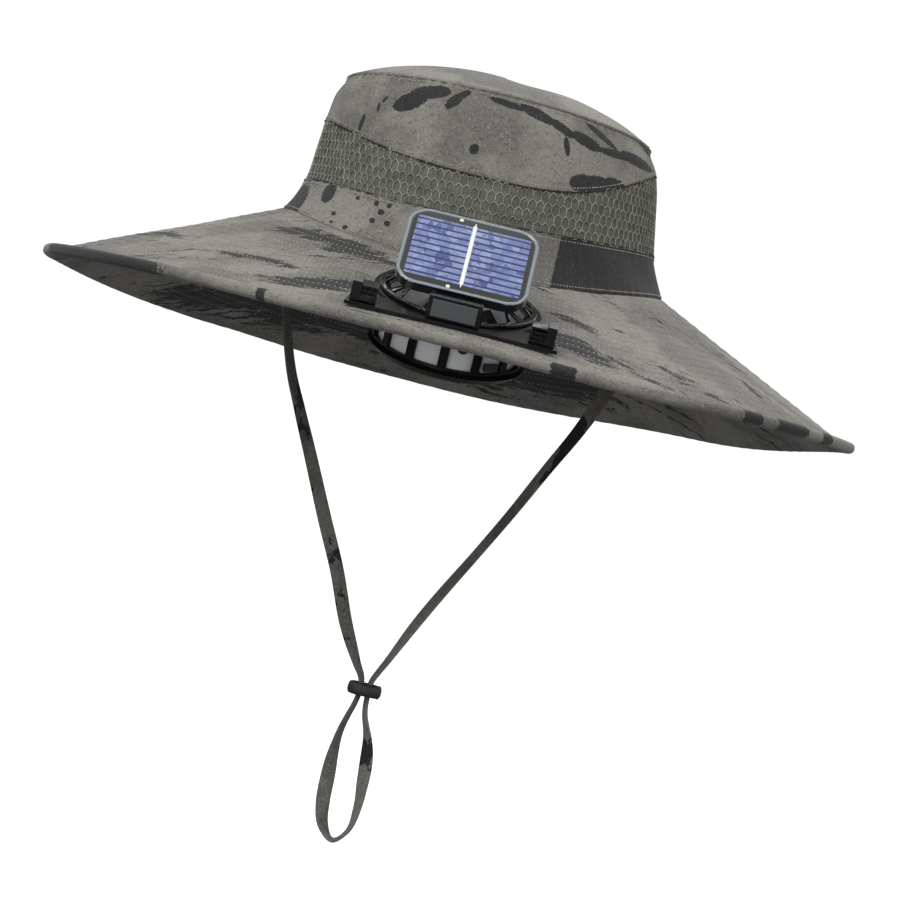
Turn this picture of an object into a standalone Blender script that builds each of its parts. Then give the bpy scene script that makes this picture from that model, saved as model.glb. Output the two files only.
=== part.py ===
"""Solar fan hat: a wide cloth hat with a net band, a fan through the front of its brim and a chin strap.

Metres, +Z up. The origin is the centre of the crown's opening, where it sits on a head. The hat's front
faces -Y. Angles round the hat are counted from the front (-Y) towards the wearer's left side (+X).
"""

import math

import bmesh
import bpy
import numpy as np
from mathutils import Vector

MM = 0.001
FRONT = 0.0

# Gap between pieces that touch, and along the seams between the cloth pieces.
TOUCH_GAP = 0.3 * MM
SEAM_GAP = 0.4 * MM

# Crown, measured on its outer face.
CROWN_HALF_WIDTH = 92 * MM
CROWN_HALF_DEPTH = 101 * MM
CROWN_HEIGHT = 66 * MM
CROWN_DOME_RISE = 14 * MM
CROWN_DOME_POWER = 3.3
CROWN_CLOTH = 1.5 * MM
NET_CLOTH = 1.2 * MM

# How far the crown's base seam sags below the origin.
BASE_SAG_FRONT = 15 * MM
BASE_SAG_BACK = 14 * MM

# The crown's wall from base to top seam: height as a share of the wall, size as a share of the base,
# and the lean to the wearer's right as a share of the base's half width.
WALL_PROFILE = [
    # height, size, lean
    (0.00, 1.000, 0.000),
    (0.10, 0.962, 0.000),
    (0.26, 0.919, -0.004),
    (0.50, 0.892, -0.014),
    (0.76, 0.866, -0.025),
    (0.92, 0.840, -0.034),
    (1.00, 0.822, -0.037),
]

# The seams under and over the net, as shares of the wall's height.
NET_LOW_SIDE, NET_LOW_FRONT_RISE, NET_LOW_TILT = 0.260, 0.036, 0.028
NET_HIGH_FRONT, NET_HIGH_RIGHT, NET_HIGH_LEFT = 0.526, 0.850, 0.680
NET_HIGH_POWER = 3.0

# Brim, measured over its binding.
BRIM_HALF_WIDTH = 195 * MM
BRIM_FRONT_DEPTH = 201 * MM
BRIM_BACK_DEPTH = 203 * MM
BRIM_THICKNESS = 3 * MM
BRIM_FALL = 47 * MM
BINDING_DIAMETER = 6 * MM

# The fall of the brim's edge below the origin, as a share of BRIM_FALL.
BRIM_EDGE = [
    # angle in degrees, fall
    (0, 1.04),
    (45, 1.03),
    (90, 0.95),
    (135, 1.10),
    (180, 1.21),
    (225, 1.10),
    (270, 0.95),
    (315, 0.97),
]

# Fan, in its own frame: z = 0 is the brim's upper face, +Z the fan's axis, -Y the brim's edge.
# Its centre stands this share of the way from the crown to the brim's edge.
FAN_ALONG_BRIM = 0.5023
FLAT_PATCH_INNER = 44 * MM
FLAT_PATCH_OUTER = 68 * MM
FLANGE_WIDTH = 88 * MM
FLANGE_FRONT = 38 * MM
FLANGE_STRIP_DEPTH = 13 * MM
FLANGE_TIP_LEAN = 1.5 * MM
FLANGE_NECK_ANGLE = math.radians(38)
FLANGE_LAP = 3.5 * MM
FLANGE_THICKNESS = 1.6 * MM
FLANGE_HOLE_RADIUS = 28.5 * MM

HOUSING_RADIUS = 32 * MM
HOUSING_WALL = 1.8 * MM
HOUSING_DEPTH = 24 * MM
HOUSING_LIP = 3.5 * MM
HOUSING_LIP_THICKNESS = 1.4 * MM
HOUSING_RING_HEIGHT = 4.6 * MM
HOUSING_RING_OVERHANG = 1.6 * MM
HOUSING_RING_INNER = 22 * MM
HOLE_CLEARANCE = 0.4 * MM
WINDOW_COUNT = 14
WINDOW_WIDTH = 10.4 * MM
SPOKE_COUNT = 6
SPOKE_WIDTH = 2 * MM
SPOKE_THICKNESS = 1.8 * MM
MOTOR_SEAT_RADIUS = 10 * MM

DUCT_WALL = 1 * MM
KNOB_RADIUS = 2.3 * MM
PORT_WIDTH, PORT_HEIGHT = 6.4 * MM, 3.2 * MM

MOTOR_RADIUS = 8 * MM
MOTOR_LENGTH = 7 * MM
SHAFT_RADIUS = 1 * MM
SHAFT_RUNNING_GAP = 0.1 * MM
HUB_RADIUS = 9 * MM
HUB_LENGTH = 9.5 * MM
HUB_GAP = 0.5 * MM
BLADE_COUNT = 7
BLADE_TIP_GAP = 1.6 * MM
BLADE_CHORD = 10 * MM
BLADE_THICKNESS = 1 * MM
BLADE_PITCH = math.radians(38)

GUARD_RADIUS = 33.5 * MM
GUARD_RISE = 11.4 * MM
GUARD_THICKNESS = 1.3 * MM
GUARD_RING_WIDTH = 2.4 * MM
GUARD_BOSS_RADIUS = 8 * MM
GUARD_RIB_COUNT = 10
GUARD_RIB_WIDTH = 2 * MM
GUARD_FORK_SHARE = 0.72
GUARD_FORK_SPREAD = 3.4 * MM
GUARD_POWER = 2.3

LUG_INSET = 1.8 * MM
LUG_SETBACK = 1.5 * MM
LUG_THICKNESS = 4 * MM
LUG_LENGTH = 9 * MM
LUG_HEIGHT = 8 * MM
SLAT_COUNT = 4
SLAT_THICKNESS = 0.8 * MM
SLAT_REACH = 6.5 * MM

BLOCK_WIDTH = 22 * MM
BLOCK_FRONT = 35.5 * MM
BLOCK_WALL_HEIGHT = 9.4 * MM
BLOCK_BASE_HEIGHT = 2.4 * MM
EAR_WIDTH = 2.6 * MM
EAR_RADIUS = 2 * MM
BLOCK_PLATE_WIDTH, BLOCK_PLATE_HEIGHT, BLOCK_PLATE_THICKNESS = 18.6 * MM, 7.2 * MM, 0.8 * MM

PANEL_WIDTH = 55 * MM
PANEL_LENGTH = 44 * MM
PANEL_THICKNESS = 4.5 * MM
PANEL_CORNER = 9 * MM
PANEL_RIM = 3.6 * MM
PANEL_POCKET = 1.5 * MM
PANEL_LEAN = math.radians(28.6)
PANEL_BELOW_HINGE = 4 * MM
PANEL_OVER_HINGE = 2.2 * MM
HINGE_BEHIND_BLOCK_FRONT = 13 * MM
HINGE_HEIGHT = 9.1 * MM
PIN_RADIUS = 1 * MM
KNUCKLE_RADIUS = 2.1 * MM
KNUCKLE_WIDTH = 12 * MM
CELL_THICKNESS = 0.8 * MM
BUSBAR_WIDTH, BUSBAR_THICKNESS = 1.7 * MM, 0.3 * MM

# Chin strap: a flat strap of 8 mm by 1.5 mm, as a plain round tube of the same section.
STRAP_DIAMETER = 4 * MM
STRAP_POINT_COUNT = 66
STRAP_ROUTE = [
    # x, y, z in millimetres, from the left end down, round the loop and up to the right end
    (-84.7, 0, 6),
    (-85.3, 0, -8),
    (-83.8, -1, -24),
    (-80.8, -1, -41),
    (-71.6, -1, -70),
    (-62.2, -1, -90),
    (-51.0, -1, -112),
    (-38.2, 0, -138),
    (-27.0, 0, -160),
    (-17.4, 0, -182),
    (-8.2, 0, -199),
    (-3.7, 0, -207),
    (-3.5, 0, -216),
    (-7.3, 0, -231),
    (-8.4, 0, -243),
    (-8.2, 0, -256),
    (-7.6, 0, -268),
    (-5.2, 0, -278),
    (1.0, 0, -284.5),
    (7.2, 0, -278),
    (8.8, 0, -267),
    (8.6, 0, -256),
    (8.0, 0, -245),
    (6.2, 0, -234),
    (2.2, 0, -223),
    (1.2, 0, -215),
    (1.4, 0, -207),
    (6.6, 0, -195),
    (14.2, 0, -178),
    (24.2, 0, -158),
    (37.4, 0, -133),
    (47.6, 0, -113),
    (58.6, 0, -89),
    (68.4, -1, -69),
    (75.4, -1, -52),
    (80.6, -1, -34),
    (84.2, -1, -18),
    (85.0, 0, -6),
    (84.4, 0, 6),
]
SLIDER_CENTRE = (-1.1 * MM, 0.0, -211.6 * MM)
SLIDER_WIDTH, SLIDER_DEPTH, SLIDER_HEIGHT = 16.4 * MM, 10.4 * MM, 6 * MM
SLIDER_HOLE_WIDTH, SLIDER_HOLE_DEPTH = 10.4 * MM, 5.2 * MM
SLIDER_ROUNDING = 1.6 * MM

# Fineness of the round forms.
RING_STEPS = 56
DUCT_STEPS = 42
SMALL_STEPS = 16
TURNED_STEPS = 24


def clear_scene():
    """Remove what the file holds."""
    for thing in list(bpy.data.objects):
        bpy.data.objects.remove(thing, do_unlink=True)
    for group in list(bpy.data.collections):
        bpy.data.collections.remove(group)


def new_collection(name):
    """A collection linked to the scene."""
    group = bpy.data.collections.new(name)
    bpy.context.scene.collection.children.link(group)
    return group


clear_scene()
HAT = new_collection("solar_fan_hat")
CUTTERS = new_collection("cutters")


def material(name, hex_colour, roughness, metallic=0.0):
    """A Principled material of an sRGB colour."""
    made = bpy.data.materials.new(name)
    made.use_nodes = True
    srgb = [int(hex_colour[i : i + 2], 16) / 255 for i in (0, 2, 4)]
    linear = [c / 12.92 if c <= 0.04045 else ((c + 0.055) / 1.055) ** 2.4 for c in srgb]
    shader = made.node_tree.nodes["Principled BSDF"]
    shader.inputs["Base Color"].default_value = (*linear, 1.0)
    shader.inputs["Roughness"].default_value = roughness
    shader.inputs["Metallic"].default_value = metallic
    return made


CLOTH = material("camouflage_cloth", "6E6A62", 0.9)
NET = material("net_cloth", "5F6056", 0.9)
STRAP_CLOTH = material("strap_cloth", "5A5650", 0.9)
BLACK_PLASTIC = material("black_gloss_plastic", "0E0F10", 0.2)
GREY_PLASTIC = material("grey_plastic", "8D9092", 0.35)
PLATE_GREY = material("grey_matte_plate", "55585A", 0.6)
MOTOR_STEEL = material("motor_steel", "8A8C8E", 0.35, 1.0)
RUBBER = material("black_rubber", "1A1B1C", 0.6)
PANEL_RESIN = material("panel_resin", "3C444C", 0.1)
CELL_BLUE = material("cell_blue", "2C4474", 0.2)
BUSBAR_SILVER = material("busbar_silver", "D8DADC", 0.3, 1.0)
PIN_STEEL = material("pin_steel", "9A9C9E", 0.3, 1.0)


def place(mesh, name, surface, parent=None, group=None):
    """An object of the mesh, with its material, in the hat's collection."""
    thing = bpy.data.objects.new(name, mesh)
    (group or HAT).objects.link(thing)
    if surface:
        mesh.materials.clear()
        mesh.materials.append(surface)
    thing.parent = parent
    return thing


def empty(name, location, turn, parent=None):
    """An empty that carries pieces in a frame of its own."""
    thing = bpy.data.objects.new(name, None)
    HAT.objects.link(thing)
    thing.location = location
    thing.rotation_euler = (turn, 0.0, 0.0)
    thing.parent = parent
    return thing


def smooth(thing, angle=35):
    """Smooth shading with sharp edges kept."""
    thing.data.shade_smooth()
    thing.data.set_sharp_from_angle(angle=math.radians(angle))


def modifier(thing, kind, **settings):
    """Add a modifier with these settings."""
    made = thing.modifiers.new(kind.lower(), kind)
    for key, value in settings.items():
        setattr(made, key, value)
    return made


def applied(thing):
    """The object with its modifiers, or its curve, made one welded mesh."""
    bpy.context.view_layer.update()
    evaluated = thing.evaluated_get(bpy.context.evaluated_depsgraph_get())
    mesh = bpy.data.meshes.new_from_object(evaluated)
    body = bmesh.new()
    body.from_mesh(mesh)
    bmesh.ops.remove_doubles(body, verts=body.verts, dist=1e-6)
    bmesh.ops.recalc_face_normals(body, faces=body.faces)
    body.to_mesh(mesh)
    body.free()
    name, parent, group, local = thing.name, thing.parent, thing.users_collection[0], thing.matrix_local.copy()
    bpy.data.objects.remove(thing, do_unlink=True)
    made = place(mesh, name, None, parent, group)
    made.matrix_local = local
    return made


def boolean(thing, tool, operation="DIFFERENCE"):
    """Cut or join with another object, and take that object away."""
    modifier(thing, "BOOLEAN", object=tool, operation=operation, solver="EXACT")
    made = applied(thing)
    bpy.data.objects.remove(tool, do_unlink=True)
    return made


def box(name, low, high, surface=None, parent=None, group=None):
    """A box between two corners."""
    body = bmesh.new()
    bmesh.ops.create_cube(body, size=1.0)
    size = [b - a for a, b in zip(low, high)]
    middle = [(a + b) / 2 for a, b in zip(low, high)]
    bmesh.ops.scale(body, vec=size, verts=body.verts)
    bmesh.ops.translate(body, vec=middle, verts=body.verts)
    mesh = bpy.data.meshes.new(name)
    body.to_mesh(mesh)
    body.free()
    return place(mesh, name, surface, parent, group)


def cutter(thing):
    """Mark an object as a tool that isn't part of the hat."""
    thing.hide_render = True
    thing.display_type = "WIRE"
    return thing


def boxes(name, low, high, count, parent, start=0.0):
    """Boxes repeated round the frame's Z axis, as one cutter. low and high are those of the one at -Y."""
    body = bmesh.new()
    for i in range(count):
        made = bmesh.ops.create_cube(body, size=1.0)["verts"]
        bmesh.ops.scale(body, vec=[b - a for a, b in zip(low, high)], verts=made)
        bmesh.ops.translate(body, vec=[(a + b) / 2 for a, b in zip(low, high)], verts=made)
        turn = start + 2 * math.pi * i / count
        spin = np.array([[math.cos(turn), -math.sin(turn)], [math.sin(turn), math.cos(turn)]])
        for vert in made:
            vert.co.xy = spin @ np.array(vert.co.xy)
    mesh = bpy.data.meshes.new(name)
    body.to_mesh(mesh)
    body.free()
    return cutter(place(mesh, name, None, parent, CUTTERS))


def turned(name, profile, surface, parent, steps, closed=True):
    """A profile of (radius, height) turned round Z. It runs down its outer side, top to bottom."""
    mesh = bpy.data.meshes.new(name)
    count = len(profile)
    edges = [(i, i + 1) for i in range(count - 1)] + ([(count - 1, 0)] if closed else [])
    mesh.from_pydata([(r, 0.0, z) for r, z in profile], edges, [])
    thing = place(mesh, name, surface, parent)
    modifier(
        thing,
        "SCREW",
        axis="Z",
        angle=2 * math.pi,
        steps=steps,
        render_steps=steps,
        use_merge_vertices=True,
        merge_threshold=1e-5,
        use_normal_calculate=False,
    )
    made = applied(thing)
    made.data.materials.clear()
    made.data.materials.append(surface)
    smooth(made)
    return made


def rod(name, radius, start, end, surface, parent, steps=SMALL_STEPS, group=None):
    """A cylinder from one point to another."""
    start, end = Vector(start), Vector(end)
    body = bmesh.new()
    bmesh.ops.create_cone(
        body, cap_ends=True, segments=steps, radius1=radius, radius2=radius, depth=(end - start).length
    )
    turn = (end - start).to_track_quat("Z", "Y").to_matrix().to_4x4()
    bmesh.ops.transform(body, matrix=turn, verts=body.verts)
    bmesh.ops.translate(body, vec=(start + end) / 2, verts=body.verts)
    mesh = bpy.data.meshes.new(name)
    body.to_mesh(mesh)
    body.free()
    thing = place(mesh, name, surface, parent, group)
    smooth(thing)
    return thing


def flat(name, outlines, bottom, thickness, surface, parent, group=None):
    """A plate of closed outlines, the first one outside and the others holes, from bottom upwards."""
    curve = bpy.data.curves.new(name, "CURVE")
    curve.dimensions = "2D"
    curve.fill_mode = "BOTH"
    curve.extrude = thickness / 2
    for outline in outlines:
        spline = curve.splines.new("POLY")
        spline.points.add(len(outline) - 1)
        spline.points.foreach_set("co", [c for x, y in outline for c in (x, y, 0.0, 1.0)])
        spline.use_cyclic_u = True
    thing = bpy.data.objects.new(name, curve)
    (group or HAT).objects.link(thing)
    thing.parent = parent
    made = applied(thing)
    for vert in made.data.vertices:
        vert.co.z += bottom + thickness / 2
    made.data.materials.clear()
    if surface:
        made.data.materials.append(surface)
    return made


def arc(centre, radius, start, end, steps):
    """Points along an arc, from one angle to another."""
    return [
        (centre[0] + radius * math.cos(a), centre[1] + radius * math.sin(a))
        for a in np.linspace(start, end, steps + 1)
    ]


def rounded(low, high, corners, steps=4):
    """A rectangle with the corner radii (low left, low right, high right, high left)."""
    centres = [
        (low[0] + corners[0], low[1] + corners[0]),
        (high[0] - corners[1], low[1] + corners[1]),
        (high[0] - corners[2], high[1] - corners[2]),
        (low[0] + corners[3], high[1] - corners[3]),
    ]
    points = []
    for i, (centre, radius) in enumerate(zip(centres, corners)):
        start = math.pi + i * math.pi / 2
        points += arc(centre, radius, start, start + math.pi / 2, steps)
    return points


def share(angle, table):
    """A periodic table of (degrees, value), read smoothly at an angle in radians."""
    degrees = math.degrees(angle) % 360
    step = 360 / len(table)
    i = int(degrees // step)
    a, b = table[i][1], table[(i + 1) % len(table)][1]
    part = (degrees - i * step) / step
    return a + (b - a) * (1 - math.cos(math.pi * part)) / 2


def base_sag(angle):
    """How far the crown's base seam lies below the origin."""
    ahead = math.cos(angle)
    return (BASE_SAG_FRONT if ahead > 0 else BASE_SAG_BACK) * ahead**2


def crown_point(angle, height, outward=0.0):
    """A point of the crown's outer face at a share of its wall's height."""
    heights = [row[0] for row in WALL_PROFILE]
    size = float(np.interp(height, heights, [row[1] for row in WALL_PROFILE]))
    lean = float(np.interp(height, heights, [row[2] for row in WALL_PROFILE])) * CROWN_HALF_WIDTH
    low = -base_sag(angle)
    return Vector(
        (
            (CROWN_HALF_WIDTH * size + outward) * math.sin(angle) + lean,
            -(CROWN_HALF_DEPTH * size + outward) * math.cos(angle),
            low + (CROWN_HEIGHT - low) * height,
        )
    )


def net_low(angle):
    """The seam under the net, as a share of the wall's height."""
    return NET_LOW_SIDE + NET_LOW_FRONT_RISE * math.cos(angle) ** 2 + NET_LOW_TILT * math.sin(angle)


def net_high(angle):
    """The scalloped seam over the net, as a share of the wall's height."""
    across = math.sin(angle)
    side = NET_HIGH_RIGHT if across > 0 else NET_HIGH_LEFT
    return NET_HIGH_FRONT + (side - NET_HIGH_FRONT) * abs(across) ** NET_HIGH_POWER


def ring_angles():
    """The angles of the points round the hat, with one exactly in front."""
    return [2 * math.pi * i / RING_STEPS for i in range(RING_STEPS)]


def loft(name, rings, surface, thickness, cap=False):
    """A cloth wall over rings of points, lowest and outermost first, with its thickness inwards."""
    body = bmesh.new()
    rows = [[body.verts.new(p) for p in ring] for ring in rings]
    for low, high in zip(rows, rows[1:]):
        for i in range(len(low)):
            j = (i + 1) % len(low)
            body.faces.new((low[i], low[j], high[j], high[i]))
    if cap:
        middle = body.verts.new(sum((v.co for v in rows[-1]), Vector()) / len(rows[-1]))
        for i in range(len(rows[-1])):
            body.faces.new((rows[-1][i], rows[-1][(i + 1) % len(rows[-1])], middle))
    mesh = bpy.data.meshes.new(name)
    body.to_mesh(mesh)
    body.free()
    thing = place(mesh, name, surface)
    thing.data.shade_smooth()
    modifier(thing, "SOLIDIFY", thickness=thickness, offset=-1.0, use_even_offset=True)
    return thing


def wall(name, low, high, rows, surface, thickness):
    """A band of the crown between two seams, each a function of the angle."""
    angles = ring_angles()
    rings = [
        [crown_point(a, low(a) + (high(a) - low(a)) * k / rows) for a in angles] for k in range(rows + 1)
    ]
    return loft(name, rings, surface, thickness)


def crown():
    """The crown's three walls and its top."""
    gap = SEAM_GAP / CROWN_HEIGHT / 2
    wall("crown_band", lambda a: 0.0, lambda a: net_low(a) - gap, 2, CLOTH, CROWN_CLOTH)
    wall("crown_mesh", lambda a: net_low(a) + gap, lambda a: net_high(a) - gap, 2, NET, NET_CLOTH)
    wall("crown_side", lambda a: net_high(a) + gap, lambda a: 1.0 - gap, 3, CLOTH, CROWN_CLOTH)
    rings = []
    for reach in (1.0, 0.94, 0.8, 0.5):
        ring = []
        for angle in ring_angles():
            edge = crown_point(angle, 1.0)
            seat = CROWN_HEIGHT + SEAM_GAP + CROWN_CLOTH * 0.9
            centre = Vector((WALL_PROFILE[-1][2] * CROWN_HALF_WIDTH, 0.0, seat))
            point = centre + (edge - centre) * reach
            point.z = centre.z + CROWN_DOME_RISE * (1 - reach**CROWN_DOME_POWER)
            ring.append(point)
        rings.append(ring)
    loft("crown_top", rings, CLOTH, CROWN_CLOTH, cap=True)


def brim_edge(angle, inset):
    """A point of the brim's outer edge, this far inside the hat's outline."""
    depth = BRIM_FRONT_DEPTH if math.cos(angle) > 0 else BRIM_BACK_DEPTH
    return Vector(
        (
            (BRIM_HALF_WIDTH - inset) * math.sin(angle),
            -(depth - inset) * math.cos(angle),
            -BRIM_FALL * share(angle, BRIM_EDGE),
        )
    )


def fan_place():
    """The fan's centre on the brim's upper face, and the brim's slope there."""
    top = crown_point(FRONT, 0.0, SEAM_GAP)
    edge = brim_edge(FRONT, BINDING_DIAMETER)
    slope = math.atan2(top.z - edge.z, top.y - edge.y)
    return top.lerp(edge, FAN_ALONG_BRIM), slope


def flattened(point, centre, slope):
    """The brim's point, brought to the fan's plane where the fan clamps it flat."""
    away = math.hypot(point.x, (point.y - centre.y) / math.cos(slope))
    part = min(max((FLAT_PATCH_OUTER - away) / (FLAT_PATCH_OUTER - FLAT_PATCH_INNER), 0.0), 1.0)
    weight = part * part * (3 - 2 * part)
    plane = centre.z + (point.y - centre.y) * math.tan(slope)
    return Vector((point.x, point.y, point.z + (plane - point.z) * weight))


def brim_ring(reach, centre, slope):
    """One ring of the brim's upper face, at a share of the way from its edge to the crown."""
    ring = []
    for angle in ring_angles():
        outer = brim_edge(angle, BINDING_DIAMETER + TOUCH_GAP)
        inner = crown_point(angle, 0.0, SEAM_GAP)
        ring.append(flattened(outer.lerp(inner, reach), centre, slope))
    return ring


def brim(fan_frame, centre, slope):
    """The brim with its hole for the fan, and the binding round its edge."""
    rings = [brim_ring(reach, centre, slope) for reach in (0.0, 0.25, 0.5, 0.75, 1.0)]
    sheet = applied(loft("brim", rings, CLOTH, BRIM_THICKNESS))
    radius = HOUSING_RADIUS + HOLE_CLEARANCE
    reach = (0.0, 0.0, 4 * BRIM_THICKNESS)
    tool = rod("brim_hole", radius, [-c for c in reach], reach, None, fan_frame, DUCT_STEPS, CUTTERS)
    bpy.context.view_layer.update()
    sheet = boolean(sheet, cutter(tool))
    sheet.data.materials.clear()
    sheet.data.materials.append(CLOTH)
    smooth(sheet)

    curve = bpy.data.curves.new("brim_binding", "CURVE")
    curve.dimensions = "3D"
    curve.bevel_depth = BINDING_DIAMETER / 2
    curve.bevel_resolution = 2
    spline = curve.splines.new("POLY")
    points = [brim_edge(a, BINDING_DIAMETER / 2) for a in ring_angles()]
    for point in points:
        point.z -= BRIM_THICKNESS / 2
    spline.points.add(len(points) - 1)
    spline.points.foreach_set("co", [c for p in points for c in (*p, 1.0)])
    spline.use_cyclic_u = True
    curve.materials.append(CLOTH)
    HAT.objects.link(bpy.data.objects.new("brim_binding", curve))


def fan_housing(frame):
    """The flange on the brim, the caged ring under it and the grey duct inside."""
    bottom = TOUCH_GAP
    tip, strip_end = FLANGE_WIDTH / 2, FLANGE_WIDTH / 2 - FLANGE_TIP_LEAN
    strip_back = -FLANGE_FRONT + FLANGE_STRIP_DEPTH
    ring = HOUSING_RADIUS + FLANGE_LAP
    outline = [(-tip, -FLANGE_FRONT), (tip, -FLANGE_FRONT), (strip_end, strip_back)]
    outline += arc((0.0, 0.0), ring, -FLANGE_NECK_ANGLE, math.pi + FLANGE_NECK_ANGLE, DUCT_STEPS)
    outline.append((-strip_end, strip_back))
    hole = arc((0.0, 0.0), FLANGE_HOLE_RADIUS, 0.0, 2 * math.pi, DUCT_STEPS)[:-1]
    flat("fan_flange", [outline, hole], bottom, FLANGE_THICKNESS, BLACK_PLASTIC, frame)

    inner = HOUSING_RADIUS - HOUSING_WALL
    lip_top = -BRIM_THICKNESS - HOLE_CLEARANCE
    ring_top = -HOUSING_DEPTH + HOUSING_RING_HEIGHT
    ring_outer = HOUSING_RADIUS + HOUSING_RING_OVERHANG
    profile = [
        (HOUSING_RADIUS, 0.0),
        (HOUSING_RADIUS, lip_top),
        (HOUSING_RADIUS + HOUSING_LIP, lip_top),
        (HOUSING_RADIUS + HOUSING_LIP, lip_top - HOUSING_LIP_THICKNESS),
        (HOUSING_RADIUS, lip_top - HOUSING_LIP_THICKNESS),
        (HOUSING_RADIUS, ring_top),
        (ring_outer, ring_top - HOUSING_RING_OVERHANG),
        (HOUSING_RADIUS - HOUSING_WALL, -HOUSING_DEPTH),
        (HOUSING_RING_INNER, -HOUSING_DEPTH),
        (HOUSING_RING_INNER, -HOUSING_DEPTH + SPOKE_THICKNESS),
        (inner, ring_top),
        (inner, 0.0),
    ]
    cage = turned("fan_housing", profile, BLACK_PLASTIC, frame, DUCT_STEPS)
    windows = boxes(
        "housing_windows",
        (-WINDOW_WIDTH / 2, -HOUSING_RADIUS - 2 * HOUSING_WALL, ring_top + HOUSING_WALL / 2),
        (WINDOW_WIDTH / 2, -inner + HOUSING_WALL, lip_top - HOUSING_LIP_THICKNESS - HOUSING_WALL / 2),
        WINDOW_COUNT,
        frame,
        math.pi / WINDOW_COUNT,
    )
    cage = boolean(cage, windows)
    spokes = boxes(
        "housing_spokes",
        (-SPOKE_WIDTH / 2, -HOUSING_RING_INNER - HOUSING_WALL, -HOUSING_DEPTH + TOUCH_GAP),
        (SPOKE_WIDTH / 2, -MOTOR_SEAT_RADIUS / 2, -HOUSING_DEPTH + SPOKE_THICKNESS - TOUCH_GAP),
        SPOKE_COUNT,
        frame,
    )
    cage = boolean(cage, spokes, "UNION")
    seat_top = -HOUSING_DEPTH + SPOKE_THICKNESS
    low, high = (0.0, 0.0, -HOUSING_DEPTH), (0.0, 0.0, seat_top)
    seat = rod("motor_seat", MOTOR_SEAT_RADIUS, low, high, None, frame, TURNED_STEPS, CUTTERS)
    cage = boolean(cage, cutter(seat), "UNION")
    cage.data.materials.clear()
    cage.data.materials.append(BLACK_PLASTIC)
    smooth(cage)

    duct_outer = inner - TOUCH_GAP
    duct_low = ring_top + TOUCH_GAP
    duct = [
        (duct_outer, -TOUCH_GAP),
        (duct_outer, duct_low),
        (duct_outer - DUCT_WALL, duct_low),
        (duct_outer - DUCT_WALL, -TOUCH_GAP),
    ]
    turned("fan_duct", duct, GREY_PLASTIC, frame, DUCT_STEPS)

    window = 2 * math.pi / WINDOW_COUNT
    knob_height = lip_top - HOUSING_LIP_THICKNESS - HOUSING_WALL - KNOB_RADIUS
    for name, angle in (("fan_switch", window / 2), ("fan_port", 1.5 * window)):
        face = duct_outer * math.cos(math.pi / DUCT_STEPS) + 2 * TOUCH_GAP
        face_end = face + HOUSING_WALL
        out = Vector((math.sin(angle), -math.cos(angle), 0.0))
        if name == "fan_switch":
            level = Vector((0.0, 0.0, knob_height))
            rod(name, KNOB_RADIUS, out * face + level, out * face_end + level, RUBBER, frame)
        else:
            low_z = ring_top + HOUSING_WALL
            low = (-PORT_WIDTH / 2, -face_end, low_z)
            port = box(name, low, (PORT_WIDTH / 2, -face, low_z + PORT_HEIGHT), RUBBER, frame)
            port.rotation_euler = (0.0, 0.0, angle)
    return duct_outer - DUCT_WALL, seat_top


def fan_turning(frame, duct_inner, seat_top):
    """The motor on its seat and the impeller on its shaft."""
    motor_low = seat_top + TOUCH_GAP
    motor_top = motor_low + MOTOR_LENGTH
    hub_low = motor_top + HUB_GAP
    hub_top = hub_low + HUB_LENGTH
    shaft_top = hub_top - 3 * HUB_GAP
    profile = [
        (0.0, shaft_top),
        (SHAFT_RADIUS, shaft_top),
        (SHAFT_RADIUS, motor_top),
        (MOTOR_RADIUS, motor_top),
        (MOTOR_RADIUS, motor_low),
        (0.0, motor_low),
    ]
    turned("fan_motor", profile, MOTOR_STEEL, frame, TURNED_STEPS, closed=False)

    hub = rod("fan_impeller", HUB_RADIUS, (0, 0, hub_low), (0, 0, hub_top), BLACK_PLASTIC, frame, 28)
    body = bmesh.new()
    middle = (hub_low + hub_top) / 2
    tip = duct_inner - BLADE_TIP_GAP
    for i in range(BLADE_COUNT):
        made = bmesh.ops.create_cube(body, size=1.0)["verts"]
        root = HUB_RADIUS * 0.8
        bmesh.ops.scale(body, vec=(tip - root, BLADE_CHORD, BLADE_THICKNESS), verts=made)
        pitch = np.array([math.cos(BLADE_PITCH), math.sin(BLADE_PITCH)])
        turn = 2 * math.pi * i / BLADE_COUNT
        for vert in made:
            x, y, z = vert.co.x + (tip + root) / 2, vert.co.y, vert.co.z
            y, z = y * pitch[0] - z * pitch[1], y * pitch[1] + z * pitch[0]
            vert.co = (
                x * math.cos(turn) - y * math.sin(turn),
                x * math.sin(turn) + y * math.cos(turn),
                z + middle,
            )
    mesh = bpy.data.meshes.new("blades")
    body.to_mesh(mesh)
    body.free()
    blades = cutter(place(mesh, "blades", None, frame, CUTTERS))
    hub = boolean(hub, blades, "UNION")
    radius = SHAFT_RADIUS + SHAFT_RUNNING_GAP
    low, high = (0, 0, hub_low - HUB_GAP), (0, 0, shaft_top + HUB_GAP)
    bore = rod("hub_bore", radius, low, high, None, frame, TURNED_STEPS, CUTTERS)
    hub = boolean(hub, cutter(bore))
    hub.data.materials.clear()
    hub.data.materials.append(BLACK_PLASTIC)
    smooth(hub)


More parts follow.
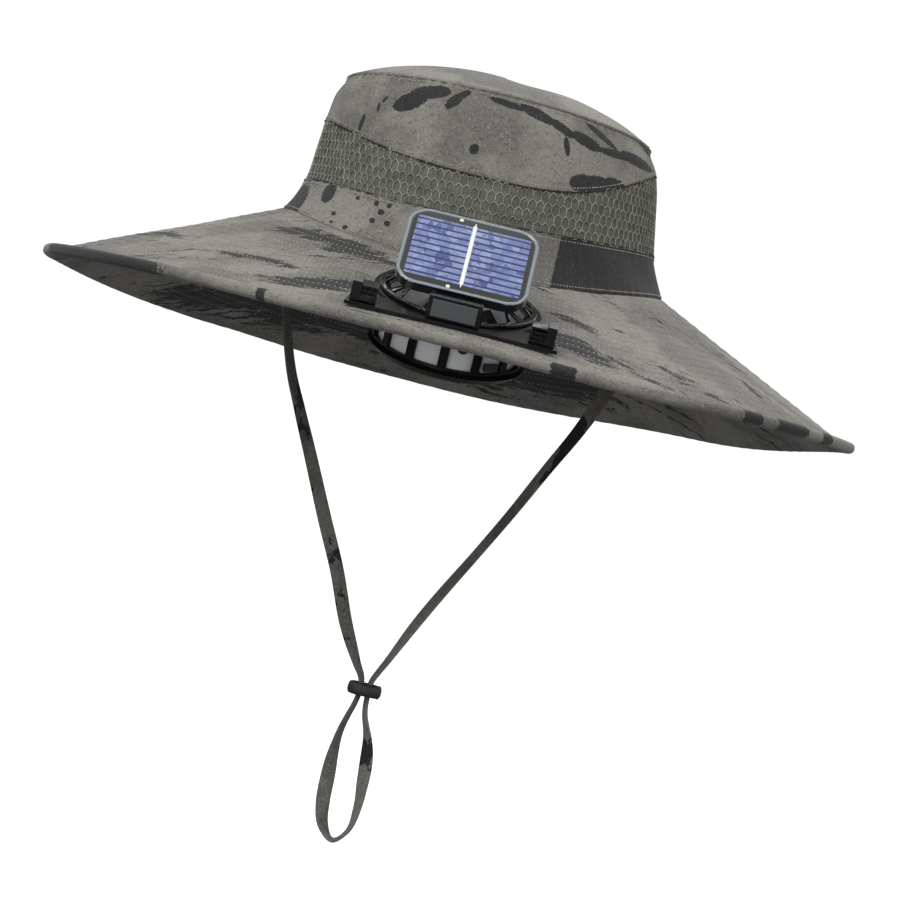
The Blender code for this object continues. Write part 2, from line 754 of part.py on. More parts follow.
def guard_outlines():
    """The guard seen from above: its rim, the gaps between its ribs and the gaps in their forks."""
    ring_inner = GUARD_RADIUS - GUARD_RING_WIDTH
    fork = GUARD_RADIUS * GUARD_FORK_SHARE
    half = GUARD_RIB_WIDTH / 2
    step = 2 * math.pi / GUARD_RIB_COUNT
    outlines = [arc((0.0, 0.0), GUARD_RADIUS, 0.0, 2 * math.pi, 4 * GUARD_RIB_COUNT)[:-1]]

    def polar(radius, angle, aside):
        """A point at a distance beside the line at this angle."""
        turn = angle + math.asin(aside / radius)
        return radius * math.cos(turn), radius * math.sin(turn)

    for i in range(GUARD_RIB_COUNT):
        here, after = i * step, (i + 1) * step
        right = [(GUARD_BOSS_RADIUS, half), (fork * 0.65, half), (fork, half), (ring_inner, GUARD_FORK_SPREAD + half)]
        gap = [polar(r, here, w) for r, w in right]
        gap.append(polar(ring_inner, (here + after) / 2, 0.0))
        gap += [polar(r, after, -w) for r, w in reversed(right)]
        outlines.append(gap)
        spread = GUARD_FORK_SPREAD - half
        outlines.append(
            [
                polar(fork + 2 * half, here, 0.0),
                polar(ring_inner, here, spread),
                polar(ring_inner, here, -spread),
            ]
        )
    return outlines


def fan_guard(frame, seat):
    """The ribbed dome over the blades, open where the hinge block stands."""
    guard = flat("fan_guard", guard_outlines(), 0.0, GUARD_THICKNESS, BLACK_PLASTIC, frame)
    for vert in guard.data.vertices:
        reach = math.hypot(vert.co.x, vert.co.y) / (GUARD_RADIUS - GUARD_RING_WIDTH)
        vert.co.z += seat + GUARD_RISE * max(0.0, 1 - reach**GUARD_POWER)
    half = BLOCK_WIDTH / 2 + TOUCH_GAP
    back = BLOCK_FRONT - HINGE_BEHIND_BLOCK_FRONT - EAR_RADIUS - 2 * TOUCH_GAP
    low = (-half, -GUARD_RADIUS * 1.2, 0.0)
    notch = box("guard_notch", low, (half, -back, 4 * GUARD_RISE), None, frame, CUTTERS)
    guard = boolean(guard, cutter(notch))
    guard.data.materials.clear()
    guard.data.materials.append(BLACK_PLASTIC)
    smooth(guard)


def fan_lugs(frame, seat):
    """The upright posts at the ends of the flange's front strip, with level slats that reach inwards."""
    front = -FLANGE_FRONT + LUG_SETBACK
    outer = FLANGE_WIDTH / 2 - LUG_INSET
    inner = outer - LUG_THICKNESS
    slat_pitch = (LUG_HEIGHT - TOUCH_GAP) / SLAT_COUNT
    for name, side in (("fan_lug_left", -1), ("fan_lug_right", 1)):
        ends = sorted((side * inner, side * outer))
        low, high = (ends[0], front, seat), (ends[1], front + LUG_LENGTH, seat + LUG_HEIGHT)
        lug = box(name, low, high, BLACK_PLASTIC, frame)
        ends = sorted((side * (inner - SLAT_REACH), side * (inner + LUG_THICKNESS / 2)))
        for k in range(SLAT_COUNT):
            level = seat + TOUCH_GAP + k * slat_pitch
            low = (ends[0], front + TOUCH_GAP, level)
            high = (ends[1], front + LUG_LENGTH - TOUCH_GAP, level + SLAT_THICKNESS)
            lug = boolean(lug, cutter(box("slat", low, high, None, frame, CUTTERS)), "UNION")
        lug.data.materials.clear()
        lug.data.materials.append(BLACK_PLASTIC)


def hinge_block(frame, seat, hinge_y):
    """The block on the flange's front with two ears for the panel's pin, and its grey face plate."""
    half = BLOCK_WIDTH / 2
    front = -BLOCK_FRONT
    wall_back = hinge_y - math.hypot(PANEL_BELOW_HINGE, PANEL_OVER_HINGE + PANEL_THICKNESS) - 2 * TOUCH_GAP
    base_back = hinge_y + EAR_RADIUS
    low, high = (-half, front, seat), (half, wall_back, seat + BLOCK_WALL_HEIGHT)
    block = box("hinge_block", low, high, BLACK_PLASTIC, frame)
    base = box("block_base", low, (half, base_back, seat + BLOCK_BASE_HEIGHT), None, frame, CUTTERS)
    block = boolean(block, cutter(base), "UNION")
    for side in (-1, 1):
        near = KNUCKLE_WIDTH / 2 + TOUCH_GAP
        ends = sorted((side * near, side * (near + EAR_WIDTH)))
        post = box(
            "ear_post",
            (ends[0] + TOUCH_GAP, hinge_y - EAR_RADIUS * 0.9, seat + BLOCK_BASE_HEIGHT / 2),
            (ends[1] - TOUCH_GAP, hinge_y + EAR_RADIUS * 0.9, HINGE_HEIGHT),
            None,
            frame,
            CUTTERS,
        )
        block = boolean(block, cutter(post), "UNION")
        start, end = (ends[0], hinge_y, HINGE_HEIGHT), (ends[1], hinge_y, HINGE_HEIGHT)
        top = rod("ear_top", EAR_RADIUS, start, end, None, frame, SMALL_STEPS, CUTTERS)
        block = boolean(block, cutter(top), "UNION")
    reach = BLOCK_WIDTH
    start, end = (-reach, hinge_y, HINGE_HEIGHT), (reach, hinge_y, HINGE_HEIGHT)
    bore = rod("ear_bore", PIN_RADIUS + TOUCH_GAP, start, end, None, frame, SMALL_STEPS, CUTTERS)
    block = boolean(block, cutter(bore))
    block.data.materials.clear()
    block.data.materials.append(BLACK_PLASTIC)

    middle = seat + BLOCK_WALL_HEIGHT / 2
    low = (
        -BLOCK_PLATE_WIDTH / 2,
        front - TOUCH_GAP - BLOCK_PLATE_THICKNESS,
        middle - BLOCK_PLATE_HEIGHT / 2,
    )
    high = (BLOCK_PLATE_WIDTH / 2, front - TOUCH_GAP, middle + BLOCK_PLATE_HEIGHT / 2)
    box("block_plate", low, high, PLATE_GREY, frame)
    pin_half = KNUCKLE_WIDTH / 2 + TOUCH_GAP + EAR_WIDTH
    start, end = (-pin_half, hinge_y, HINGE_HEIGHT), (pin_half, hinge_y, HINGE_HEIGHT)
    rod("hinge_pin", PIN_RADIUS, start, end, PIN_STEEL, frame, SMALL_STEPS)


def solar_panel(axis):
    """The panel on its hinge axis: frame with knuckle, cell plate and busbar. Y runs up the panel."""
    low = (-PANEL_WIDTH / 2, -PANEL_BELOW_HINGE)
    high = (PANEL_WIDTH / 2, PANEL_LENGTH - PANEL_BELOW_HINGE)
    outline = rounded(low, high, [PANEL_CORNER] * 4, 5)
    frame = flat("panel_frame", [outline], PANEL_OVER_HINGE, PANEL_THICKNESS, PANEL_RESIN, axis)
    knuckle_half = KNUCKLE_WIDTH / 2
    web_half = knuckle_half - TOUCH_GAP
    low_web = (-web_half, -KNUCKLE_RADIUS * 0.9, 0.0)
    high_web = (web_half, KNUCKLE_RADIUS * 0.9, PANEL_OVER_HINGE + PANEL_POCKET)
    web = box("knuckle_web", low_web, high_web, None, axis, CUTTERS)
    frame = boolean(frame, cutter(web), "UNION")
    ends = (-knuckle_half, 0, 0), (knuckle_half, 0, 0)
    knuckle = rod("knuckle", KNUCKLE_RADIUS, *ends, None, axis, SMALL_STEPS, CUTTERS)
    frame = boolean(frame, cutter(knuckle), "UNION")
    ends = (-KNUCKLE_WIDTH, 0, 0), (KNUCKLE_WIDTH, 0, 0)
    bore = rod("knuckle_bore", PIN_RADIUS + SHAFT_RUNNING_GAP, *ends, None, axis, TURNED_STEPS, CUTTERS)
    frame = boolean(frame, cutter(bore))
    top = PANEL_OVER_HINGE + PANEL_THICKNESS
    rim = PANEL_RIM
    pocket_outline = rounded(
        (low[0] + rim, low[1] + rim), (high[0] - rim, high[1] - rim), [PANEL_CORNER - rim] * 4, 3
    )
    pocket = flat(
        "pocket", [pocket_outline], top - PANEL_POCKET, 2 * PANEL_POCKET, None, axis, CUTTERS
    )
    frame = boolean(frame, cutter(pocket))
    frame.data.materials.clear()
    frame.data.materials.append(PANEL_RESIN)
    smooth(frame)

    rim += TOUCH_GAP
    cell_outline = rounded(
        (low[0] + rim, low[1] + rim), (high[0] - rim, high[1] - rim), [PANEL_CORNER - rim] * 4, 3
    )
    cell_low = top - PANEL_POCKET + TOUCH_GAP
    flat("panel_cell", [cell_outline], cell_low, CELL_THICKNESS, CELL_BLUE, axis)
    bar_low = cell_low + CELL_THICKNESS + TOUCH_GAP
    box(
        "panel_busbar",
        (-BUSBAR_WIDTH / 2, low[1] + 1.5 * rim, bar_low),
        (BUSBAR_WIDTH / 2, high[1] - 1.5 * rim, bar_low + BUSBAR_THICKNESS),
        BUSBAR_SILVER,
        axis,
    )


def fan():
    """The fan with its panel, through the front of the brim, and the brim that holds it."""
    centre, slope = fan_place()
    frame = empty("fan_frame", centre, slope)
    seat = TOUCH_GAP + FLANGE_THICKNESS + TOUCH_GAP
    hinge_y = -BLOCK_FRONT + HINGE_BEHIND_BLOCK_FRONT
    bpy.context.view_layer.update()
    brim(frame, centre, slope)
    duct_inner, seat_top = fan_housing(frame)
    fan_turning(frame, duct_inner, seat_top)
    fan_guard(frame, seat)
    fan_lugs(frame, seat)
    hinge_block(frame, seat, hinge_y)
    axis = empty("panel_axis", (0.0, hinge_y, HINGE_HEIGHT), PANEL_LEAN, frame)
    bpy.context.view_layer.update()
    solar_panel(axis)


def smooth_route(points, count):
    """A smooth curve through the points, with evenly spaced points along it."""
    given = np.array(points, dtype=float)
    before = np.vstack([2 * given[0] - given[1], given[:-1]])
    after = np.vstack([given[1:], 2 * given[-1] - given[-2]])
    slopes = (after - before) / 2
    fine = []
    for i in range(len(given) - 1):
        for t in np.linspace(0, 1, 24, endpoint=False):
            a, b = given[i], given[i + 1]
            blend = (
                (2 * t**3 - 3 * t**2 + 1) * a
                + (t**3 - 2 * t**2 + t) * slopes[i]
                + (3 * t**2 - 2 * t**3) * b
                + (t**3 - t**2) * slopes[i + 1]
            )
            fine.append(blend)
    fine = np.array(fine + [given[-1]])
    run = np.concatenate([[0.0], np.cumsum(np.linalg.norm(np.diff(fine, axis=0), axis=1))])
    spaced = np.linspace(0.0, run[-1], count)
    return np.column_stack([np.interp(spaced, run, fine[:, k]) for k in range(3)])


def chin_strap():
    """The strap along its route, and the rubber slider that both strands pass through."""
    curve = bpy.data.curves.new("chin_strap", "CURVE")
    curve.dimensions = "3D"
    curve.bevel_depth = STRAP_DIAMETER / 2
    curve.bevel_resolution = 2
    curve.use_fill_caps = True
    spline = curve.splines.new("POLY")
    route = smooth_route(STRAP_ROUTE, STRAP_POINT_COUNT) * MM
    spline.points.add(len(route) - 1)
    spline.points.foreach_set("co", [c for p in route for c in (*p, 1.0)])
    curve.materials.append(STRAP_CLOTH)
    HAT.objects.link(bpy.data.objects.new("chin_strap", curve))

    outlines = []
    for width, depth in ((SLIDER_WIDTH, SLIDER_DEPTH), (SLIDER_HOLE_WIDTH, SLIDER_HOLE_DEPTH)):
        corner = depth / 2 - 0.01 * MM
        outlines.append(rounded((-width / 2, -depth / 2), (width / 2, depth / 2), [corner] * 4, 4))
    slider = flat("strap_slider", outlines, -SLIDER_HEIGHT / 2, SLIDER_HEIGHT, RUBBER, None)
    slider.location = SLIDER_CENTRE
    modifier(
        slider,
        "BEVEL",
        width=SLIDER_ROUNDING,
        segments=2,
        limit_method="ANGLE",
        angle_limit=math.radians(60),
    )
    smooth(slider)


def main():
    """Build the hat."""
    crown()
    fan()
    chin_strap()


main()
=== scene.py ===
"""Looks of the solar fan hat: camouflage cloth with its net band, stitches, fan, solar panel and strap.

Metres, +Z up, the hat's front faces -Y. Angles round the hat are counted from the front towards +X.
"""

import logging
import math
from dataclasses import dataclass
from enum import Enum
from typing import Callable, Optional, Sequence

import bmesh
import bpy
import numpy as np
from mathutils import Matrix, Vector

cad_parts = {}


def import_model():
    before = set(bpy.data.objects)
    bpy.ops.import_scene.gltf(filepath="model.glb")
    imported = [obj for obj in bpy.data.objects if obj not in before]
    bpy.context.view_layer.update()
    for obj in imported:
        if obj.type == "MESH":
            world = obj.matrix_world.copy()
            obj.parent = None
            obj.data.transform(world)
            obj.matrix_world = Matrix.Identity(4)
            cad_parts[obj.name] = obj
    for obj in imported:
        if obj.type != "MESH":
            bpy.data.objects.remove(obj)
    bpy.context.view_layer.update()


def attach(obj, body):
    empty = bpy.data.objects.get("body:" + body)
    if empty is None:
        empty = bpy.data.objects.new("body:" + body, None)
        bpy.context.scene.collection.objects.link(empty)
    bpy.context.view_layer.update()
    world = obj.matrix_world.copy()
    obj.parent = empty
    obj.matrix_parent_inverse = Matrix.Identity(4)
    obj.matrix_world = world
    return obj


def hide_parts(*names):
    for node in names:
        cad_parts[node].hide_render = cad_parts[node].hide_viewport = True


LOG = logging.getLogger("solar_fan_hat")
MM = 0.001
# corners closer than this are one
WELD = 1e-6
# edges sharper than this are rounded
SHARP_ANGLE = math.radians(35)
Array = np.ndarray


def linear(hex_colour: str) -> tuple[float, float, float, float]:
    """Turn an sRGB hex colour into linear RGBA.

    Args:
        hex_colour: six hex digits.
    Returns:
        Linear red, green, blue and an alpha of 1.
    """
    parts = [int(hex_colour[i : i + 2], 16) / 255 for i in (0, 2, 4)]
    red, green, blue = (c / 12.92 if c <= 0.04045 else ((c + 0.055) / 1.055) ** 2.4 for c in parts)
    return red, green, blue, 1.0


def fill(tree: bpy.types.NodeTree, node: bpy.types.Node, inputs: dict) -> None:
    """Set each named or numbered input of a node to its value, or link it to its output socket."""
    for key, value in inputs.items():
        if isinstance(value, bpy.types.NodeSocket):
            tree.links.new(value, node.inputs[key])
        else:
            node.inputs[key].default_value = value


def add_node(
    tree: bpy.types.NodeTree, kind: str, inputs: Optional[dict] = None, **settings
) -> bpy.types.Node:
    """Add a shader node with its settings, and fill or link its inputs.

    Args:
        tree: the material's node tree.
        kind: the node's type name.
        inputs: value or output socket for each named or numbered input.
        **settings: the node's own properties.
    Returns:
        The new node.
    """
    made = tree.nodes.new(kind)
    for key, value in settings.items():
        setattr(made, key, value)
    fill(tree, made, inputs or {})
    return made


class Nodes:
    """A new material with its node tree, and short ways to add the nodes used most."""

    def __init__(self, name: str) -> None:
        """Make the material."""
        self.material = bpy.data.materials.new(name)
        self.material.use_nodes = True
        self.tree = self.material.node_tree
        self.shader = self.tree.nodes["Principled BSDF"]

    def add(self, kind: str, inputs: Optional[dict] = None, **settings) -> bpy.types.Node:
        """Add a node, as add_node does."""
        return add_node(self.tree, kind, inputs, **settings)

    def calc(self, operation: str, first, second=0.5):
        """Arithmetic on one or two numbers."""
        return self.add("ShaderNodeMath", {0: first, 1: second}, operation=operation).outputs[0]

    def step(self, value, low: float, high: float):
        """A smooth step from 0 to 1."""
        inputs = {"Value": value, "From Min": low, "From Max": high}
        return self.add("ShaderNodeMapRange", inputs, interpolation_type="SMOOTHSTEP").outputs[0]

    def spread(self, value, low: float, high: float):
        """Carry 0 to 1 over to low to high."""
        return self.add("ShaderNodeMapRange", {"Value": value, "To Min": low, "To Max": high}).outputs[0]

    def blend(self, share, first, second, kind: str = "MIX"):
        """Mix two colours by a share."""
        inputs = {"Factor": share, "A": first, "B": second}
        return self.add("ShaderNodeMix", inputs, data_type="RGBA", blend_type=kind).outputs["Result"]

    def object_noise(self, scale: float, detail: float):
        """Noise of this many cells a metre, fixed to the object."""
        place = self.add("ShaderNodeTexCoord").outputs["Object"]
        inputs = {"Vector": place, "Scale": scale, "Detail": detail}
        return self.add("ShaderNodeTexNoise", inputs).outputs["Fac"]

    def raised(self, strength: float, distance: float, height):
        """The normal of a surface raised by a height."""
        inputs = {"Strength": strength, "Distance": distance, "Height": height}
        return self.add("ShaderNodeBump", inputs).outputs[0]

    def finish(self, inputs: dict) -> bpy.types.Material:
        """Fill the main shader's inputs and return the material."""
        fill(self.tree, self.shader, inputs)
        return self.material


# Shapes as arrays


def unit(vectors: Array) -> Array:
    """The vectors at length 1."""
    return vectors / np.maximum(np.linalg.norm(vectors, axis=-1, keepdims=True), 1e-12)


def ring_along(ring: Array) -> Array:
    """The direction along a ring at each of its points."""
    return unit(np.roll(ring, -1, axis=0) - np.roll(ring, 1, axis=0))


def run_along(line: Array) -> Array:
    """The length of a line up to each of its points."""
    steps = np.linalg.norm(np.diff(line, axis=0), axis=1)
    return np.concatenate([[0.0], np.cumsum(steps)])


def read_line(at: Array, run: Array, line: Array) -> Array:
    """A line's values at these lengths along it."""
    return np.stack([np.interp(at, run, line[:, k]) for k in range(3)], axis=-1)


def full_turn(count: int) -> Array:
    """Angles round a full turn, without its last one."""
    return np.linspace(0, 2 * math.pi, count, endpoint=False)


def new_object(name: str, data: bpy.types.ID) -> bpy.types.Object:
    """Make an object of this data and link it to the scene."""
    made = bpy.data.objects.new(name, data)
    bpy.context.scene.collection.objects.link(made)
    return made


def weld(piece: bpy.types.Object, outwards: bool = True) -> None:
    """Merge doubled corners and, where asked, turn every face outwards."""
    body = bmesh.new()
    body.from_mesh(piece.data)
    bmesh.ops.remove_doubles(body, verts=body.verts, dist=WELD)
    if outwards:
        bmesh.ops.recalc_face_normals(body, faces=body.faces)
    body.to_mesh(piece.data)
    body.free()
    piece.data.shade_smooth()


def mesh_object(
    name: str,
    points: Array,
    faces: Sequence[Array],
    uv: Optional[Array] = None,
    period: float = 0.0,
    values: Optional[dict[str, Array]] = None,
) -> bpy.types.Object:
    """Make a smooth mesh object from whole arrays.

    Args:
        name: the piece's name.
        points: the corners, N by 3, in metres.
        faces: arrays of corner numbers, each of one face size.
        uv: a flat place for each corner, in metres.
        period: the length round the hat after which the flat place repeats.
        values: a number for each corner, for the material to read.
    Returns:
        The object, linked to the scene.
    """
    loops = np.concatenate([f.ravel() for f in faces]).astype(np.int32)
    sizes = np.concatenate([np.full(len(f), f.shape[1]) for f in faces])
    starts = np.concatenate([[0], np.cumsum(sizes)[:-1]]).astype(np.int32)
    mesh = bpy.data.meshes.new(name)
    mesh.vertices.add(len(points))
    mesh.vertices.foreach_set("co", np.ascontiguousarray(points, dtype=np.float32).ravel())
    mesh.loops.add(len(loops))
    mesh.loops.foreach_set("vertex_index", loops)
    mesh.polygons.add(len(sizes))
    mesh.polygons.foreach_set("loop_start", starts)
    mesh.update(calc_edges=True)
    if uv is not None:
        flat = uv[loops].astype(np.float64)
        if period:
            first = np.repeat(flat[starts, 0], sizes)
            flat[:, 0] += period * np.round((first - flat[:, 0]) / period)
        mesh.uv_layers.new(name="UVMap").data.foreach_set("uv", flat.astype(np.float32).ravel())
    for key, numbers in (values or {}).items():
        made = mesh.attributes.new(key, "FLOAT", "POINT")
        made.data.foreach_set("value", numbers.astype(np.float32))
    mesh.shade_smooth()
    return new_object(name, mesh)


def grid_quads(rows: int, columns: int, closed: bool = True) -> Array:
    """Quads of a grid of rows by columns, wound so that rows go up and columns go round to the right.

    Args:
        rows: corners along the first parameter.
        columns: corners along the second one.
        closed: whether the last column joins the first.
    Returns:
        Corner numbers, M by 4.
    """
    i, j = np.meshgrid(np.arange(rows - 1), np.arange(columns if closed else columns - 1), indexing="ij")
    k = (j + 1) % columns
    a, b, c, d = i * columns + j, i * columns + k, (i + 1) * columns + k, (i + 1) * columns + j
    return np.stack([a, b, c, d], axis=-1).reshape(-1, 4)


def shell_faces(quads: Array, count: int) -> Array:
    """Faces of a closed wall: the outer sheet, the inner sheet turned round, and strips along every edge.

    Args:
        quads: the outer sheet's faces.
        count: how many corners a sheet has; the inner sheet's follow the outer's.
    Returns:
        Corner numbers, M by 4.
    """
    start, end = quads.ravel(), np.roll(quads, -1, axis=1).ravel()
    size = np.int64(2 * count)
    single = ~np.isin(start * size + end, end * size + start)
    a, b = start[single], end[single]
    return np.concatenate([quads, quads[:, ::-1] + count, np.stack([b, a, a + count, b + count], axis=-1)])


def grid_normals(points: Array, closed: bool = True) -> Array:
    """Unit normals of a grid of points, rows by columns by 3: the cross product of its two directions.

    Args:
        points: the grid.
        closed: whether the last column joins the first.
    Returns:
        A normal for each point.
    """
    up = np.gradient(points, axis=0)
    if closed:
        along = np.roll(points, -1, axis=1) - np.roll(points, 1, axis=1)
    else:
        along = np.gradient(points, axis=1)
    return unit(np.cross(along, up))


def waves(place: Array, seed: int, count: int = 6) -> Array:
    """Irregular waves between about -1 and 1: a sum of sines of unlike pitch and phase.

    Args:
        place: where to read them; 2 pi is about one wave.
        seed: picks the phases.
        count: how many sines.
    Returns:
        A height for each place.
    """
    random = np.random.default_rng(seed)
    total = np.zeros_like(place)
    for _ in range(count):
        total += np.sin(place * random.uniform(0.55, 1.6) + random.uniform(0, 2 * math.pi))
    return total / math.sqrt(count * 1.6)


def smoothstep(low: float, high: float, value: Array) -> Array:
    """Go from 0 to 1 between low and high, level at both ends."""
    part = np.clip((value - low) / (high - low), 0.0, 1.0)
    return part * part * (3 - 2 * part)


def swept(
    path: Array, sideways: Array, outwards: Array, profile: Array, closed: bool
) -> tuple[Array, list[Array], Array]:
    """Carry a closed profile along a path: point = path + x * sideways + y * outwards.

    Args:
        path: N by 3.
        sideways: the profile's x direction at each path point.
        outwards: the profile's y direction at each path point.
        profile: M by 2, or N by M by 2, anticlockwise seen against the path.
        closed: whether the path is a ring.
    Returns:
        Points, faces and a flat place (round the profile, along the path) for each point.
    """
    shape = profile if profile.ndim == 3 else np.broadcast_to(profile, (len(path), *profile.shape))
    points = path[:, None] + shape[..., :1] * sideways[:, None] + shape[..., 1:] * outwards[:, None]
    rows, columns = shape.shape[:2]
    quads = grid_quads(rows, columns)
    faces = [quads]
    if closed:
        last = (rows - 1) * columns + np.arange(columns)
        first = np.arange(columns)
        faces.append(np.stack([last, np.roll(last, -1), np.roll(first, -1), first], axis=-1))
    else:
        faces.append(np.arange(columns)[::-1][None])
        faces.append(((rows - 1) * columns + np.arange(columns))[None])
    run = run_along(path)
    around = run_along(shape[0])
    flat = np.stack(np.broadcast_arrays(run[:, None], around[None]), axis=-1).reshape(-1, 2)
    return points.reshape(-1, 3), faces, flat


def oval(width: float, height: float, count: int, power: float = 2.0) -> Array:
    """A superellipse: |x / a|^p + |y / b|^p = 1, as count points anticlockwise.

    Args:
        width: its full width.
        height: its full height.
        count: how many points.
        power: 2 is an ellipse, and more is squarer.
    Returns:
        Points, count by 2.
    """
    turn = full_turn(count)
    c, s = np.cos(turn), np.sin(turn)
    return np.stack(
        [
            width / 2 * np.sign(c) * np.abs(c) ** (2 / power),
            height / 2 * np.sign(s) * np.abs(s) ** (2 / power),
        ],
        axis=-1,
    )


def smooth_route(given: Array, count: int) -> Array:
    """A cubic Hermite curve through the points, as count evenly spaced points along it.

    Args:
        given: the route's points, N by 3.
        count: how many points to return.
    Returns:
        Points, count by 3.
    """
    slopes = np.gradient(given, axis=0)
    t = np.linspace(0, 1, 24, endpoint=False)[None, :, None]
    a, b, p, q = given[:-1, None], given[1:, None], slopes[:-1, None], slopes[1:, None]
    fine = (2 * t**3 - 3 * t**2 + 1) * a + (t**3 - 2 * t**2 + t) * p + (3 * t**2 - 2 * t**3) * b
    fine = np.concatenate([(fine + (t**3 - t**2) * q).reshape(-1, 3), given[-1:]])
    run = run_along(fine)
    spaced = np.linspace(0.0, run[-1], count)
    return read_line(spaced, run, fine)


@dataclass(frozen=True)
class Stitch:
    """One kind of machine stitch: its length, pitch, thread width and how proud it lies."""

    length: float = 2.3 * MM
    pitch: float = 3.3 * MM
    width: float = 0.62 * MM
    height: float = 0.34 * MM
    slant: float = 0.10

    def rows(self, lines: Sequence[tuple[Array, Array]], closed: bool = True) -> tuple[Array, list[Array]]:
        """Lay stitches along lines on a surface: a lens of 10 corners each, tip, two rings of 4, tip.

        Args:
            lines: pairs of line points (N by 3) and surface normals there.
            closed: whether each line is a ring.
        Returns:
            Points and faces.
        """
        lens = [(-0.5, 0, 0)]
        for x in (-0.3, 0.3):
            lens += [(x, 0.5, 0.0), (x, 0.0, 1.0), (x, -0.5, 0.0), (x, 0.0, -0.6)]
        lens = np.array(lens + [(0.5, 0, 0)])
        ring = np.arange(4)
        after = (ring + 1) % 4
        quads = np.stack([1 + ring, 1 + after, 5 + after, 5 + ring], axis=-1)[:, ::-1]
        tips = np.concatenate(
            [
                np.stack([np.zeros(4, int), 1 + after, 1 + ring], axis=-1)[:, ::-1],
                np.stack([np.full(4, 9), 5 + ring, 5 + after], axis=-1)[:, ::-1],
            ]
        )
        all_points, all_quads, all_tips, base = [], [], [], 0
        for line, normals in lines:
            if closed:
                line, normals = np.vstack([line, line[:1]]), np.vstack([normals, normals[:1]])
            run = run_along(line)
            count = max(int(run[-1] / self.pitch), 1)
            at = (np.arange(count) + 0.5) * run[-1] / count
            middle = read_line(at, run, line)
            ahead = read_line(at + 2 * MM, run, line)
            behind = read_line(at - 2 * MM, run, line)
            out = read_line(at, run, normals)
            along = unit(ahead - behind)
            side = np.cross(out, along)
            along = along + self.slant * side
            local = lens * np.array([self.length, self.width, self.height])
            points = (
                middle[:, None]
                + local[None, :, :1] * along[:, None]
                + local[None, :, 1:2] * side[:, None]
                + local[None, :, 2:] * out[:, None]
            )
            offset = base + 10 * np.arange(count)[:, None, None]
            all_points.append(points.reshape(-1, 3))
            all_quads.append((quads[None] + offset).reshape(-1, 4))
            all_tips.append((tips[None] + offset).reshape(-1, 3))
            base += 10 * count
        return np.concatenate(all_points), [np.concatenate(all_quads), np.concatenate(all_tips)]


# The hat's form, as in its solids


